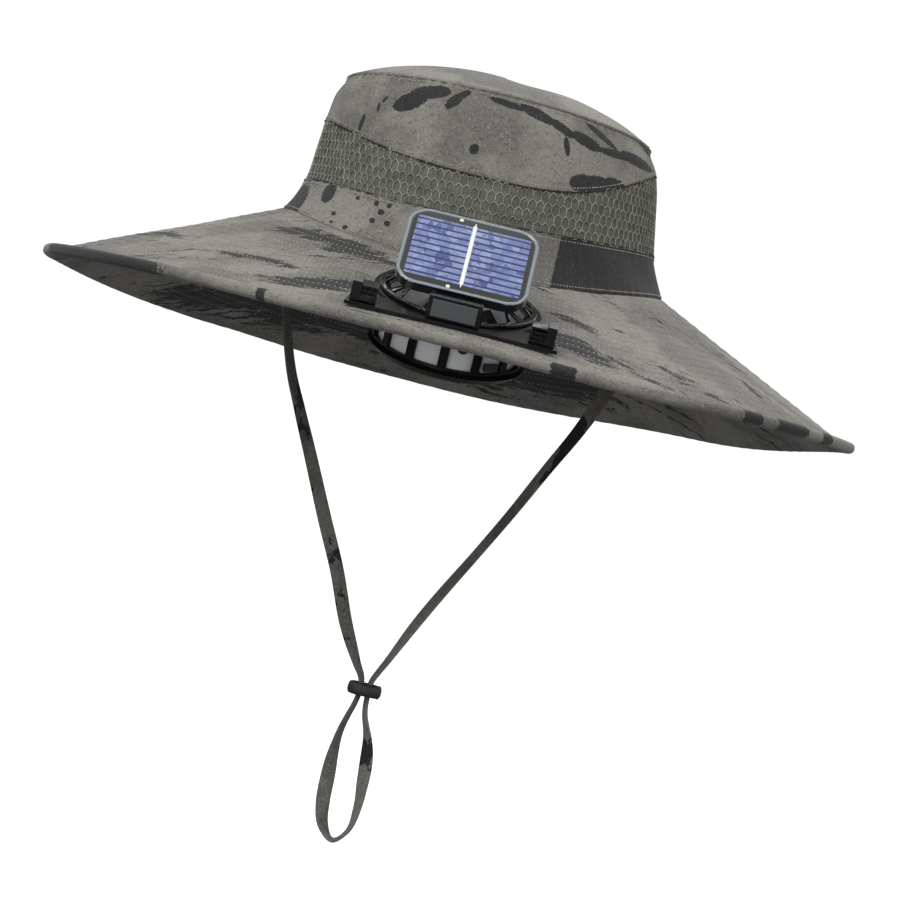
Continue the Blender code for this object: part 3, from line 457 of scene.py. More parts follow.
@dataclass(frozen=True)
class HatForm:
    """The hat's outline and sizes, with the surfaces of its crown and brim."""

    half_width: float = 92 * MM
    half_depth: float = 101 * MM
    height: float = 66 * MM
    sag_front: float = 15 * MM
    sag_back: float = 14 * MM
    brim_half_width: float = 195 * MM
    brim_front: float = 201 * MM
    brim_back: float = 203 * MM
    brim_fall: float = 47 * MM
    brim_thickness: float = 3 * MM
    binding: float = 6 * MM
    fan_from_crown: float = 50 * MM
    flat_inner: float = 44 * MM
    flat_outer: float = 68 * MM
    # the crown's wall: size and lean at each height, as shares
    heights: tuple[float, ...] = (0.0, 0.10, 0.26, 0.50, 0.76, 0.92, 1.0)
    sizes: tuple[float, ...] = (1.0, 0.962, 0.919, 0.892, 0.866, 0.840, 0.822)
    leans: tuple[float, ...] = (0.0, 0.0, -0.004, -0.014, -0.025, -0.034, -0.037)
    # the fall of the brim's edge every 45 degrees from the front, as shares
    edge_falls: tuple[float, ...] = (1.04, 1.03, 0.95, 1.10, 1.21, 1.10, 0.95, 0.97)

    @staticmethod
    def curve(place: Array, at: Sequence[float], value: Sequence[float]) -> Array:
        """Read a table smoothly: a cubic Hermite curve through its rows.

        Args:
            place: where to read it.
            at: the table's places.
            value: its values.
        Returns:
            A value for each place.
        """
        x, y = np.array(at), np.array(value)
        slope = np.gradient(y, x)
        i = np.clip(np.searchsorted(x, place) - 1, 0, len(x) - 2)
        step = x[i + 1] - x[i]
        t = np.clip((place - x[i]) / step, 0.0, 1.0)
        return (
            (2 * t**3 - 3 * t**2 + 1) * y[i]
            + (t**3 - 2 * t**2 + t) * step * slope[i]
            + (3 * t**2 - 2 * t**3) * y[i + 1]
            + (t**3 - t**2) * step * slope[i + 1]
        )

    def crown(self, angle: Array, height: Array, outward: Array | float = 0.0) -> Array:
        """The crown's outer face: an ellipse at each height, leaning and sagging at its foot.

        Args:
            angle: round the hat, in radians from the front.
            height: share of the wall's height.
            outward: how far outside the face.
        Returns:
            Points with a last axis of 3.
        """
        angle, height = np.broadcast_arrays(angle, height)
        size = self.curve(height, self.heights, self.sizes)
        lean = self.curve(height, self.heights, self.leans) * self.half_width
        ahead = np.cos(angle)
        low = -np.where(ahead > 0, self.sag_front, self.sag_back) * ahead**2
        return np.stack(
            [
                (self.half_width * size + outward) * np.sin(angle) + lean,
                -(self.half_depth * size + outward) * ahead,
                low + (self.height - low) * height,
            ],
            axis=-1,
        )

    @staticmethod
    def net_low(angle: Array) -> Array:
        """The seam under the net, as a share of the wall's height."""
        return 0.260 + 0.036 * np.cos(angle) ** 2 + 0.028 * np.sin(angle)

    @staticmethod
    def net_high(angle: Array) -> Array:
        """The scalloped seam over the net, as a share of the wall's height."""
        across = np.sin(angle)
        side = np.where(across > 0, 0.850, 0.680)
        return 0.526 + (side - 0.526) * np.abs(across) ** 3

    def edge(self, angle: Array, inset: float) -> Array:
        """The brim's edge, this far inside the hat's outline: an ellipse that falls as the table says."""
        depth = np.where(np.cos(angle) > 0, self.brim_front, self.brim_back)
        place = np.degrees(angle) % 360 / 45
        i = place.astype(int) % 8
        falls = np.array(self.edge_falls)
        part = (1 - np.cos(math.pi * (place - place.astype(int)))) / 2
        fall = falls[i] + (falls[(i + 1) % 8] - falls[i]) * part
        return np.stack(
            [
                (self.brim_half_width - inset) * np.sin(angle),
                -(depth - inset) * np.cos(angle),
                -self.brim_fall * fall,
            ],
            axis=-1,
        )

    def fan_place(self) -> tuple[Array, float]:
        """The fan's centre on the brim's upper face and the brim's slope there."""
        front = np.array(0.0)
        top = self.crown(front, front, 0.4 * MM)
        edge = self.edge(front, self.binding)
        along = (edge - top) / np.linalg.norm(edge - top)
        return top + along * self.fan_from_crown, math.atan2(top[2] - edge[2], top[1] - edge[1])

    def brim(self, angle: Array, reach: Array) -> Array:
        """The brim's upper face: straight from its edge (0) to the crown (1), flat under the fan.

        Args:
            angle: round the hat.
            reach: share of the way from the edge to the crown.
        Returns:
            Points with a last axis of 3.
        """
        angle, reach = np.broadcast_arrays(angle, reach)
        outer = self.edge(angle, self.binding + 0.3 * MM)
        inner = self.crown(angle, np.zeros_like(reach), 0.4 * MM)
        points = outer + (inner - outer) * reach[..., None]
        centre, slope = self.fan_place()
        away = np.hypot(points[..., 0], (points[..., 1] - centre[1]) / math.cos(slope))
        weight = 1 - smoothstep(self.flat_inner, self.flat_outer, away)
        plane = centre[2] + (points[..., 1] - centre[1]) * math.tan(slope)
        points[..., 2] += (plane - points[..., 2]) * weight
        return points


FORM = HatForm()


@dataclass(frozen=True)
class Blotch:
    """One dark mark of the print, an ellipse in hat millimetres seen from the front or from above."""

    x: float
    y: float
    long: float
    wide: float
    tilt: float = 0.0

    def depth(self, across: Array, up: Array) -> Array:
        """How far inside the mark a place lies: 1 at its middle, 0 on its edge, less outside."""
        turn = math.radians(self.tilt)
        dx, dy = across / MM - self.x, up / MM - self.y
        a = (dx * math.cos(turn) + dy * math.sin(turn)) / self.long
        b = (dy * math.cos(turn) - dx * math.sin(turn)) / self.wide
        return 1 - np.hypot(a, b)


def print_field(marks: Sequence[Blotch], across: Array, up: Array, shown: Array) -> Array:
    """The deepest mark at each place, held between -1 and 1, and -1 where the marks aren't shown."""
    field_value = np.full(across.shape, -1.0)
    for mark in marks:
        field_value = np.maximum(field_value, mark.depth(across, up))
    return np.where(shown, np.clip(field_value, -1, 1), -1.0)


CROWN_MARKS = (
    # x, z, half length, half width, tilt in degrees
    Blotch(-42, 55.0, 8.5, 4.0, 32),
    Blotch(-34, 60.5, 9.0, 3.2, 12),
    Blotch(-23, 58.5, 5.5, 2.3, 52),
    Blotch(-20, 62.0, 4.0, 1.6, 40),
    Blotch(0, 62.5, 9.0, 1.6, -6),
    Blotch(14, 61.5, 9.0, 2.4, -14),
    Blotch(26, 58.5, 8.0, 2.0, -20),
    Blotch(38, 56.0, 8.0, 2.6, -14),
    Blotch(52, 55.0, 9.0, 1.8, 4),
    Blotch(44, 61.0, 9.0, 1.5, -24),
    Blotch(63, 56.0, 9.0, 2.6, -4),
    Blotch(30, 51.0, 1.3, 4.5, 20),
    Blotch(41, 37.2, 6.5, 4.0, 12),
    Blotch(47, 38.6, 7.0, 4.0, 12),
    Blotch(54, 40.0, 6.5, 4.2, 12),
    Blotch(-9.5, 39.0, 2.2, 2.4, 0),
    Blotch(-62, 42.0, 1.0, 4.4, -6),
    Blotch(-63, 35.5, 2.8, 1.8, -20),
    Blotch(-56, 50.0, 0.7, 2.2, 0),
    Blotch(-54, 54.0, 0.7, 2.0, -30),
    Blotch(66, 66.0, 10.0, 2.0, -30),
)
BAND_MARKS = (
    Blotch(-85, 3.0, 5.0, 9.5, -18),
    Blotch(-80, -7.0, 7.0, 3.4, -35),
    Blotch(-69, 8.0, 3.0, 5.2, -12),
    Blotch(-55, 7.5, 1.1, 1.0, 0),
    Blotch(-46, 6.5, 1.2, 1.2, 0),
    Blotch(-40, 6.5, 1.3, 1.1, 0),
    Blotch(-43, 3.0, 1.6, 1.4, 0),
    Blotch(-46, -1.5, 1.3, 1.3, 0),
    Blotch(-39, -1.5, 1.6, 1.3, 0),
    Blotch(-64, -1.5, 1.2, 1.1, 0),
    Blotch(-57, -7.0, 1.4, 1.1, 0),
    Blotch(-64, -5.5, 0.9, 0.8, 0),
)
WELT_MARKS = (
    Blotch(-156, -113, 57.0, 16.0, -56),
    Blotch(-77, -184, 2.0, 9.0, -30),
    Blotch(48, -196, 5.4, 9.0, 0),
    Blotch(131, -149, 6.0, 7.0, 45),
    Blotch(151, -127, 13.0, 7.0, 50),
    Blotch(170, -98, 6.0, 6.0, 60),
)
BRIM_MARKS = (
    Blotch(-60, -93, 34.0, 6.5, -33),
    Blotch(-40, -112, 26.0, 4.5, -20),
    Blotch(-56, -158, 26.0, 7.0, 0),
    Blotch(-88, -130, 20.0, 4.0, -25),
    Blotch(-140, -60, 26.0, 4.0, -60),
    Blotch(52, -160, 16.0, 9.0, -8),
    Blotch(50, -130, 11.0, 5.0, -5),
    Blotch(132, -95, 10.0, 3.0, -60),
    Blotch(120, 60, 30.0, 8.0, -45),
    Blotch(20, 160, 40.0, 9.0, 0),
    Blotch(-110, 90, 30.0, 9.0, 40),
)
UNDER_MARKS = (
    Blotch(-127, 113, 32.0, 17.0, 30),
    Blotch(-87, 134, 34.0, 19.0, 22),
    Blotch(-48, 148, 30.0, 15.0, 16),
    Blotch(55, 152, 32.0, 17.0, -12),
    Blotch(22, 168, 22.0, 10.0, -4),
    Blotch(110, 118, 12.0, 3.0, -50),
    Blotch(60, -140, 30.0, 12.0, 20),
    Blotch(-60, -120, 30.0, 12.0, -20),
    Blotch(150, 10, 10.0, 34.0, 0),
)


class Body(Enum):
    """The bodies that the pieces ride on."""

    HAT = "hat"
    IMPELLER = "impeller"
    PANEL = "solar_panel"


# Finishes


@dataclass(frozen=True)
class PrintedPoplin:
    """Polyester poplin, woven from dyed yarn and printed with ragged camouflage.

    Its matte threads give the eye a fine light and dark heather, and the print sits flat in them.
    """

    name: str
    ground_light: str = "86837D"
    ground_dark: str = "6B6964"
    charcoal: str = "29282A"
    fleck: str = "B0ADA4"
    blotch_share: float = 0.60
    streak_share: float = 0.62
    streak_length: float = 7.0
    thread: float = 0.85 * MM
    roughness: float = 0.88
    bump: float = 0.35
    tint: float = 1.0
    brush: float = 0.0
    heather_share: float = 0.62
    shade_share: float = 0.46

    def build(self) -> bpy.types.Material:
        """Build the cloth's nodes: ground, heather, blotches, streaks and the marks that the mesh carries."""
        nodes = Nodes(self.name)
        add, calc, blend, step = nodes.add, nodes.calc, nodes.blend, nodes.step
        place = add("ShaderNodeUVMap", uv_map="UVMap").outputs["UV"]
        warp = add("ShaderNodeTexNoise", {"Vector": place, "Scale": 70.0, "Detail": 3.0}).outputs["Color"]
        push = add("ShaderNodeVectorMath", {0: warp, 1: (0.5, 0.5, 0.5)}, operation="SUBTRACT")
        push = add("ShaderNodeVectorMath", {0: push.outputs[0], "Scale": 0.012}, operation="SCALE")
        warped = add("ShaderNodeVectorMath", {0: place, 1: push.outputs[0]}, operation="ADD").outputs[0]

        def noise(scale: float, detail: float, stretch: float, roughness: float = 0.55, shift: float = 0.0):
            """Noise of this many cells a metre, stretched along the cloth."""
            inputs = {"Vector": warped, "Location": (shift, shift, 0.0), "Scale": (1 / stretch, 1.0, 1.0)}
            moved = add("ShaderNodeMapping", inputs).outputs[0]
            inputs = {"Vector": moved, "Scale": scale, "Detail": detail, "Roughness": roughness}
            return add("ShaderNodeTexNoise", inputs).outputs["Fac"]

        ragged = noise(900.0, 3.0, 1.6, 0.7)
        patches = step(noise(26.0, 3.0, 1.4, shift=3.1), 0.42, 0.58)
        ground = blend(patches, linear(self.ground_dark), linear(self.ground_light))
        heather = step(noise(1300.0, 3.0, 1.3, 0.85, 1.7), 0.54, 0.66)
        ground = blend(calc("MULTIPLY", heather, self.heather_share), ground, linear(self.fleck))
        shade = step(noise(800.0, 3.0, 2.0, 0.85, 5.7), 0.48, 0.36)
        ground = blend(calc("MULTIPLY", shade, self.shade_share), ground, linear(self.charcoal))

        plain = add("ShaderNodeAttribute", attribute_name="plain").outputs["Fac"]
        marks = add("ShaderNodeAttribute", attribute_name="marks").outputs["Fac"]
        cleared = calc("MULTIPLY", plain, -0.4)
        blotches = calc("ADD", noise(30.0, 6.0, 1.9, 0.62), cleared)
        blotches = step(blotches, self.blotch_share, self.blotch_share + 0.012)
        streaks = calc("ADD", noise(170.0, 5.0, self.streak_length, 0.66, 7.3), cleared)
        where = calc("MULTIPLY", step(noise(22.0, 2.0, 2.0, shift=9.2), 0.44, 0.62), 0.09)
        streaks = step(calc("ADD", streaks, where), self.streak_share + 0.05, self.streak_share + 0.07)
        rough_edge = calc("MULTIPLY", calc("SUBTRACT", ragged, 0.5), 0.7)
        if self.brush:
            strokes = calc("SUBTRACT", noise(240.0, 4.0, 9.0, 0.7, 4.4), 0.5)
            rough_edge = calc("ADD", rough_edge, calc("MULTIPLY", strokes, self.brush))
        drawn = step(calc("ADD", marks, rough_edge), -0.03, 0.03)
        dark = calc("MAXIMUM", calc("MAXIMUM", blotches, streaks), drawn)
        worn = calc("SUBTRACT", 0.97, calc("MULTIPLY", heather, 0.16))
        colour = blend(calc("MULTIPLY", dark, worn), ground, linear(self.charcoal))
        if self.tint != 1.0:
            colour = blend(1.0, colour, (self.tint, self.tint, self.tint, 1.0), "MULTIPLY")

        inputs = {"Vector": place, "Scale": 1 / self.thread / 3.2, "Distortion": 1.2, "Detail": 2.0}
        ways = [add("ShaderNodeTexWave", inputs, bands_direction=way).outputs["Fac"] for way in "XY"]
        weave = calc("ADD", *ways)
        grain = calc("ADD", calc("MULTIPLY", weave, 0.35), calc("MULTIPLY", ragged, 0.9))
        return nodes.finish(
            {
                "Base Color": colour,
                "Roughness": self.roughness,
                "Sheen Weight": 0.12,
                "Sheen Roughness": 0.5,
                "Specular IOR Level": 0.25,
                "Normal": nodes.raised(self.bump, 0.35 * MM, grain),
            }
        )


@dataclass(frozen=True)
class MouldedPlastic:
    """Injection-moulded plastic: even colour, soft gloss and a faint flow mottle in its skin."""

    name: str
    colour: str
    roughness: float = 0.25
    mottle: float = 0.06
    coat: float = 0.0
    bump: float = 0.06
    grain: float = 1.5 * MM
    gloss: float = 0.5

    def build(self) -> bpy.types.Material:
        """Build the plastic's nodes."""
        nodes = Nodes(self.name)
        flow = nodes.object_noise(1 / self.grain, 3.0)
        return nodes.finish(
            {
                "Base Color": linear(self.colour),
                "Roughness": nodes.spread(flow, self.roughness - self.mottle, self.roughness + self.mottle),
                "IOR": 1.5,
                "Specular IOR Level": self.gloss,
                "Coat Weight": self.coat,
                "Coat Roughness": 0.08,
                "Normal": nodes.raised(self.bump, 0.1 * MM, flow),
            }
        )


@dataclass(frozen=True)
class PlainSteel:
    """Drawn and tinned metal with fine turning marks."""

    name: str
    colour: str
    roughness: float = 0.3

    def build(self) -> bpy.types.Material:
        """Build the metal's nodes."""
        nodes = Nodes(self.name)
        marks = nodes.object_noise(900.0, 4.0)
        rough = nodes.spread(marks, self.roughness - 0.1, self.roughness + 0.12)
        return nodes.finish({"Base Color": linear(self.colour), "Metallic": 1.0, "Roughness": rough})


@dataclass(frozen=True)
class SpunThread:
    """Spun polyester thread or yarn: matte, with a twist that breaks up the light."""

    name: str
    light: str
    dark: str
    roughness: float = 0.8

    def build(self) -> bpy.types.Material:
        """Build the thread's nodes."""
        nodes = Nodes(self.name)
        twist = nodes.object_noise(260.0, 4.0)
        inputs = {"Value": twist, "From Min": 0.35, "From Max": 0.65}
        share = nodes.add("ShaderNodeMapRange", inputs).outputs[0]
        colour = nodes.blend(share, linear(self.dark), linear(self.light))
        return nodes.finish({"Base Color": colour, "Roughness": self.roughness, "Specular IOR Level": 0.3})


@dataclass(frozen=True)
class SiliconCell:
    """Polycrystalline silicon under clear resin: blue crystal facets crossed by dark cut lines."""

    name: str = "silicon_cell"
    blue: str = "6273A8"
    pale: str = "8C9AC4"
    deep: str = "424F86"
    line: str = "252C55"
    line_count: int = 10

    def build(self) -> bpy.types.Material:
        """Build the cell's nodes; its UV runs from 0 to 1 across and up the panel."""
        nodes = Nodes(self.name)
        place = nodes.add("ShaderNodeUVMap", uv_map="UVMap").outputs["UV"]
        stretched = nodes.add("ShaderNodeMapping", {"Vector": place, "Scale": (17.0, 9.0, 1.0)}).outputs[0]
        crystal = nodes.add("ShaderNodeTexVoronoi", {"Vector": stretched, "Scale": 1.0}).outputs["Color"]
        tone = nodes.add("ShaderNodeSeparateColor", {"Color": crystal})
        colour = nodes.blend(tone.outputs[0], linear(self.blue), linear(self.pale))
        inputs = {"Value": tone.outputs[1], "From Min": 0.72, "From Max": 0.95}
        dark = nodes.add("ShaderNodeMapRange", inputs).outputs[0]
        colour = nodes.blend(dark, colour, linear(self.deep))
        height = nodes.add("ShaderNodeSeparateXYZ", {"Vector": place}).outputs["Y"]
        row = nodes.calc("FRACT", nodes.calc("MULTIPLY", height, float(self.line_count)))
        off = nodes.calc("ABSOLUTE", nodes.calc("SUBTRACT", row, 0.5))
        colour = nodes.blend(nodes.step(off, 0.20, 0.11), colour, linear(self.line))
        return nodes.finish(
            {"Base Color": colour, "Roughness": 0.28, "Coat Weight": 0.6, "Coat Roughness": 0.05}
        )


class Finishes:
    """Every material of the hat, built once."""

    def __init__(self) -> None:
        """Build them."""
        self.cloth = PrintedPoplin("printed_poplin", blotch_share=0.63).build()
        self.brim_cloth = PrintedPoplin(
            "printed_brim_poplin", blotch_share=0.66, streak_share=0.575, streak_length=9.0, brush=3.4
        ).build()
        self.welt_cloth = PrintedPoplin(
            "printed_welt_poplin", blotch_share=0.70, streak_share=0.70, tint=0.97
        ).build()
        self.strap_cloth = PrintedPoplin(
            "printed_strap_poplin", blotch_share=0.57, streak_share=0.62, streak_length=2.0, tint=0.78
        ).build()
        self.net_ground = SpunThread("net_ground_knit", "6B6B65", "565650", 0.92).build()
        self.net_yarn = SpunThread("net_yarn", "A3A296", "77776F", 0.75).build()
        self.thread = SpunThread("topstitch_thread", "BDB8A6", "8C8678", 0.65).build()
        # painted shadow: a near-black thread colour for the net seams' welts, standing in for the shade in
        # the seam crease
        self.seam_shadow = SpunThread("seam_painted_shadow", "3A3936", "2B2A28", 0.95).build()
        self.black = MouldedPlastic("gloss_abs_black", "111214", 0.16, 0.05).build()
        self.shade_black = MouldedPlastic("housing_abs_black", "0B0C0D", 0.36, 0.06, gloss=0.16).build()
        self.satin_black = MouldedPlastic("satin_abs_black", "121315", 0.28, 0.08, gloss=0.34).build()
        # partly painted reflection: the duct behind the windows is grey plastic, its colour pushed near white
        # to stand in for the white light it reflects
        self.grey = MouldedPlastic("duct_grey_and_painted_reflection", "E2E5E8", 0.22, 0.06).build()
        self.plate = MouldedPlastic("grey_matte_plate", "4C4F52", 0.5, 0.05).build()
        self.rubber = MouldedPlastic("black_silicone_rubber", "232427", 0.5, 0.06).build()
        self.steel = PlainSteel("plain_steel", "A0A2A5").build()
        self.resin = MouldedPlastic("clear_cast_resin", "1D2022", 0.10, 0.03, coat=1.0).build()
        # painted highlight: the clear resin's rim is given a light blue-grey colour that stands in for the
        # light caught on its edge
        self.lip = MouldedPlastic("resin_lip_painted_highlight", "7C8890", 0.10, 0.03, coat=1.0).build()
        self.border = MouldedPlastic("panel_board", "1F211C", 0.22, 0.05, coat=0.6).build()
        self.cell = SiliconCell().build()
        self.busbar = MouldedPlastic("tinned_ribbon", "EDEDE6", 0.35, 0.05).build()


def dress(piece: bpy.types.Object, finish: bpy.types.Material) -> None:
    """Give a piece one material."""
    piece.data.materials.clear()
    piece.data.materials.append(finish)


def hand_over(
    piece: bpy.types.Object, finish: bpy.types.Material, body: Body, slot: str, *nodes: str
) -> None:
    """Dress a piece, let it ride on its body, and hide the solids it stands for.

    Args:
        piece: the finished object.
        finish: its material.
        body: the body it moves with.
        slot: the record's material slot; not used.
        *nodes: the solids that it replaces.
    """
    dress(piece, finish)
    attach(piece, body.value)
    if nodes:
        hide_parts(*nodes)
    LOG.info("%s: %d faces on %s", piece.name, len(piece.data.polygons), body.value)


# The cloth


@dataclass
class CrownWall:
    """One cloth band of the crown between two seams."""

    name: str
    node: str
    low: Callable[[Array], Array]
    high: Callable[[Array], Array]
    rows: int
    marks: Sequence[Blotch]
    thickness: float = 1.5 * MM
    pucker: float = 0.28 * MM
    fold: float = 0.5 * MM
    columns: int = 720
    seed: int = 1
    dark_from: Optional[float] = None
    roll: float = 0.0

    def surface(self, angle: Array, part: Array) -> Array:
        """The wall's outer face: the crown's form with soft folds and puckers at both seams.

        The folds are slow waves round the hat that lean with height; the puckers are short waves that fade
        4 mm from a seam.
        """
        low, high = self.low(angle), self.high(angle)
        height = low + (high - low) * part
        tall = (high - low) * FORM.height
        near = np.exp(-part * tall / (4 * MM)) + np.exp(-(1 - part) * tall / (4 * MM))
        short = waves(angle * 75, self.seed) * self.pucker * near
        slow = waves(angle * 9 + part * 1.3, self.seed + 20) * self.fold
        middle = np.sin(math.pi * np.clip(part, 0, 1)) ** 0.7
        shoulder = self.roll * smoothstep(0.84, 1.0, height) ** 1.5
        return FORM.crown(angle, height, short + slow * middle - shoulder)

    def build(self, finish: bpy.types.Material) -> bpy.types.Object:
        """Build the closed cloth wall with its print."""
        angle = np.linspace(-math.pi, math.pi, self.columns, endpoint=False)[None]
        part = np.linspace(0, 1, self.rows)[:, None]
        outer = self.surface(*np.broadcast_arrays(angle, part))
        inner = outer - grid_normals(outer) * self.thickness
        points = np.concatenate([outer.reshape(-1, 3), inner.reshape(-1, 3)])
        count = self.rows * self.columns
        radius = (FORM.half_width + FORM.half_depth) / 2
        around = np.broadcast_to(angle * radius, outer.shape[:2])
        flat = np.stack([around, outer[..., 2]], axis=-1).reshape(-1, 2)
        front = points[:, 1] < 0
        marks = print_field(self.marks, points[:, 0], points[:, 2], front)
        if self.dark_from is not None:
            patch = np.clip((points[:, 0] - self.dark_from) / (2 * MM), -1, 0.14)
            marks = np.maximum(marks, np.where(points[:, 1] < 12 * MM, patch, -1.0))
        plain = np.where(front, smoothstep(-0.02, -0.05, points[:, 1]) * 0.9, 0.0)
        piece = mesh_object(
            self.name,
            points,
            [shell_faces(grid_quads(self.rows, self.columns), count)],
            np.concatenate([flat, flat]),
            2 * math.pi * radius,
            {"marks": marks, "plain": plain},
        )
        hand_over(piece, finish, Body.HAT, "camouflage_cloth", self.node)
        return piece

    def line(self, part: float, offset: float = 0.0, count: int = 900) -> tuple[Array, Array]:
        """A line round the wall at a share of its height, with the wall's normals.

        Args:
            part: 0 at the lower seam, 1 at the upper one.
            offset: metres above that share.
            count: how many points.
        """
        angle = full_turn(count)
        tall = (self.high(angle) - self.low(angle)) * FORM.height
        at = part + offset / tall
        near = 0.5 * MM / tall
        rows = np.stack([self.surface(angle, at - near), self.surface(angle, at + near)])
        normals = grid_normals(rows)[0]
        return rows.mean(axis=0), normals


@dataclass
class Crown:
    """The crown: top, two cloth walls and their stitching."""

    finishes: Finishes
    top_rows: int = 40
    top_columns: int = 360
    dome: float = 14 * MM
    dome_power: float = 3.3

    def walls(self) -> dict[str, CrownWall]:
        """The crown's cloth walls, with small laps at the seams."""
        lap = 0.006
        return {
            "band": CrownWall(
                "crown_band_cloth", "crown_band", lambda a: 0 * a - 0.002, lambda a: FORM.net_low(a), 24,
                BAND_MARKS, seed=3, fold=0.7 * MM, dark_from=37 * MM,
            ),
            "side": CrownWall(
                "crown_side_cloth", "crown_side", lambda a: FORM.net_high(a), lambda a: 0 * a + 1 + lap, 36,
                CROWN_MARKS, seed=5, fold=0.6 * MM, roll=2.2 * MM,
            ),
        }

    def top(self) -> bpy.types.Object:
        """The domed top: an ellipse whose rise follows 1 - r^3.3, turned over at its seam.

        Its rings run from the seam to the middle, and a last ring of zero size closes the pole.
        """
        angle = full_turn(self.top_columns)[None]
        reach = np.linspace(1, 0, self.top_rows)[:, None] ** 0.75
        edge = FORM.crown(angle, np.ones_like(angle), -2.0 * MM)
        centre = np.array([FORM.leans[-1] * FORM.half_width, 0.0, FORM.height + 0.9 * MM])
        outer = centre + (edge - centre) * reach[..., None]
        rise = self.dome * (1 - reach**self.dome_power)
        near = np.exp(-(1 - reach) * 75 / 4)
        ripple = waves(angle * 70, 11) * 0.22 * MM * near
        slack = waves(angle * 4 + reach * 5, 12) * 0.8 * MM * reach * (1 - reach) * 3
        outer[..., 2] = centre[2] + rise + ripple + slack
        outer[..., 0] += 0.5 * MM * near * np.sin(angle) * (reach > 0.9)
        normals = grid_normals(outer)
        normals[-1] = (0, 0, 1)
        inner = outer - normals * 1.5 * MM
        points = np.concatenate([outer.reshape(-1, 3), inner.reshape(-1, 3)])
        count = self.top_rows * self.top_columns
        quads = grid_quads(self.top_rows, self.top_columns)
        marks = np.full(len(points), -1.0)
        plain = np.full(len(points), 0.35)
        piece = mesh_object(
            "crown_top_cloth",
            points,
            [shell_faces(quads, count)],
            points[:, :2],
            values={"marks": marks, "plain": plain},
        )
        weld(piece, outwards=False)
        hand_over(piece, self.finishes.cloth, Body.HAT, "camouflage_cloth", "crown_top")
        return piece

    def stitching(self, walls: dict[str, CrownWall]) -> None:
        """Rows of stitches beside the crown's seams."""
        band, side = walls["band"], walls["side"]
        lines = [
            band.line(1.0, -1.6 * MM),
            band.line(0.0, 1.6 * MM),
            side.line(0.0, 1.5 * MM),
            side.line(1.0, -1.5 * MM),
        ]
        points, faces = Stitch(length=1.05 * MM, pitch=1.65 * MM, width=0.58 * MM).rows(lines)
        piece = mesh_object("crown_topstitching", points, faces)
        hand_over(piece, self.finishes.thread, Body.HAT, "camouflage_cloth")

    def welts(self, walls: dict[str, CrownWall]) -> None:
        """Thin folded welts where the walls meet: a small oval carried along each seam. The two net seams'
        welts are coloured dark as a painted shadow of the seam's crease.
        """
        lines = [
            (walls["band"].line(1.0), "net_low_seam", 0.7 * MM),
            (walls["side"].line(0.0), "net_high_seam", 0.8 * MM),
            (walls["side"].line(1.0), "crown_top_seam", 0.9 * MM),
        ]
        for (line, normals), name, size in lines:
            along = ring_along(line)
            up = np.cross(normals, along)
            profile = oval(size, size * 0.8, 8)
            points, faces, flat = swept(line, up, normals, profile, True)
            none = np.full(len(points), -1.0)
            piece = mesh_object(name, points, faces, flat, values={"marks": none, "plain": none * 0})
            # the net seams' welts take the painted shadow; the top seam's welt takes the cloth
            finish = self.finishes.cloth if name == "crown_top_seam" else self.finishes.seam_shadow
            hand_over(piece, finish, Body.HAT, "camouflage_cloth")

    def build(self) -> None:
        """Build the crown."""
        walls = self.walls()
        for wall in walls.values():
            wall.build(self.finishes.cloth)
        self.top()
        self.stitching(walls)
        self.welts(walls)


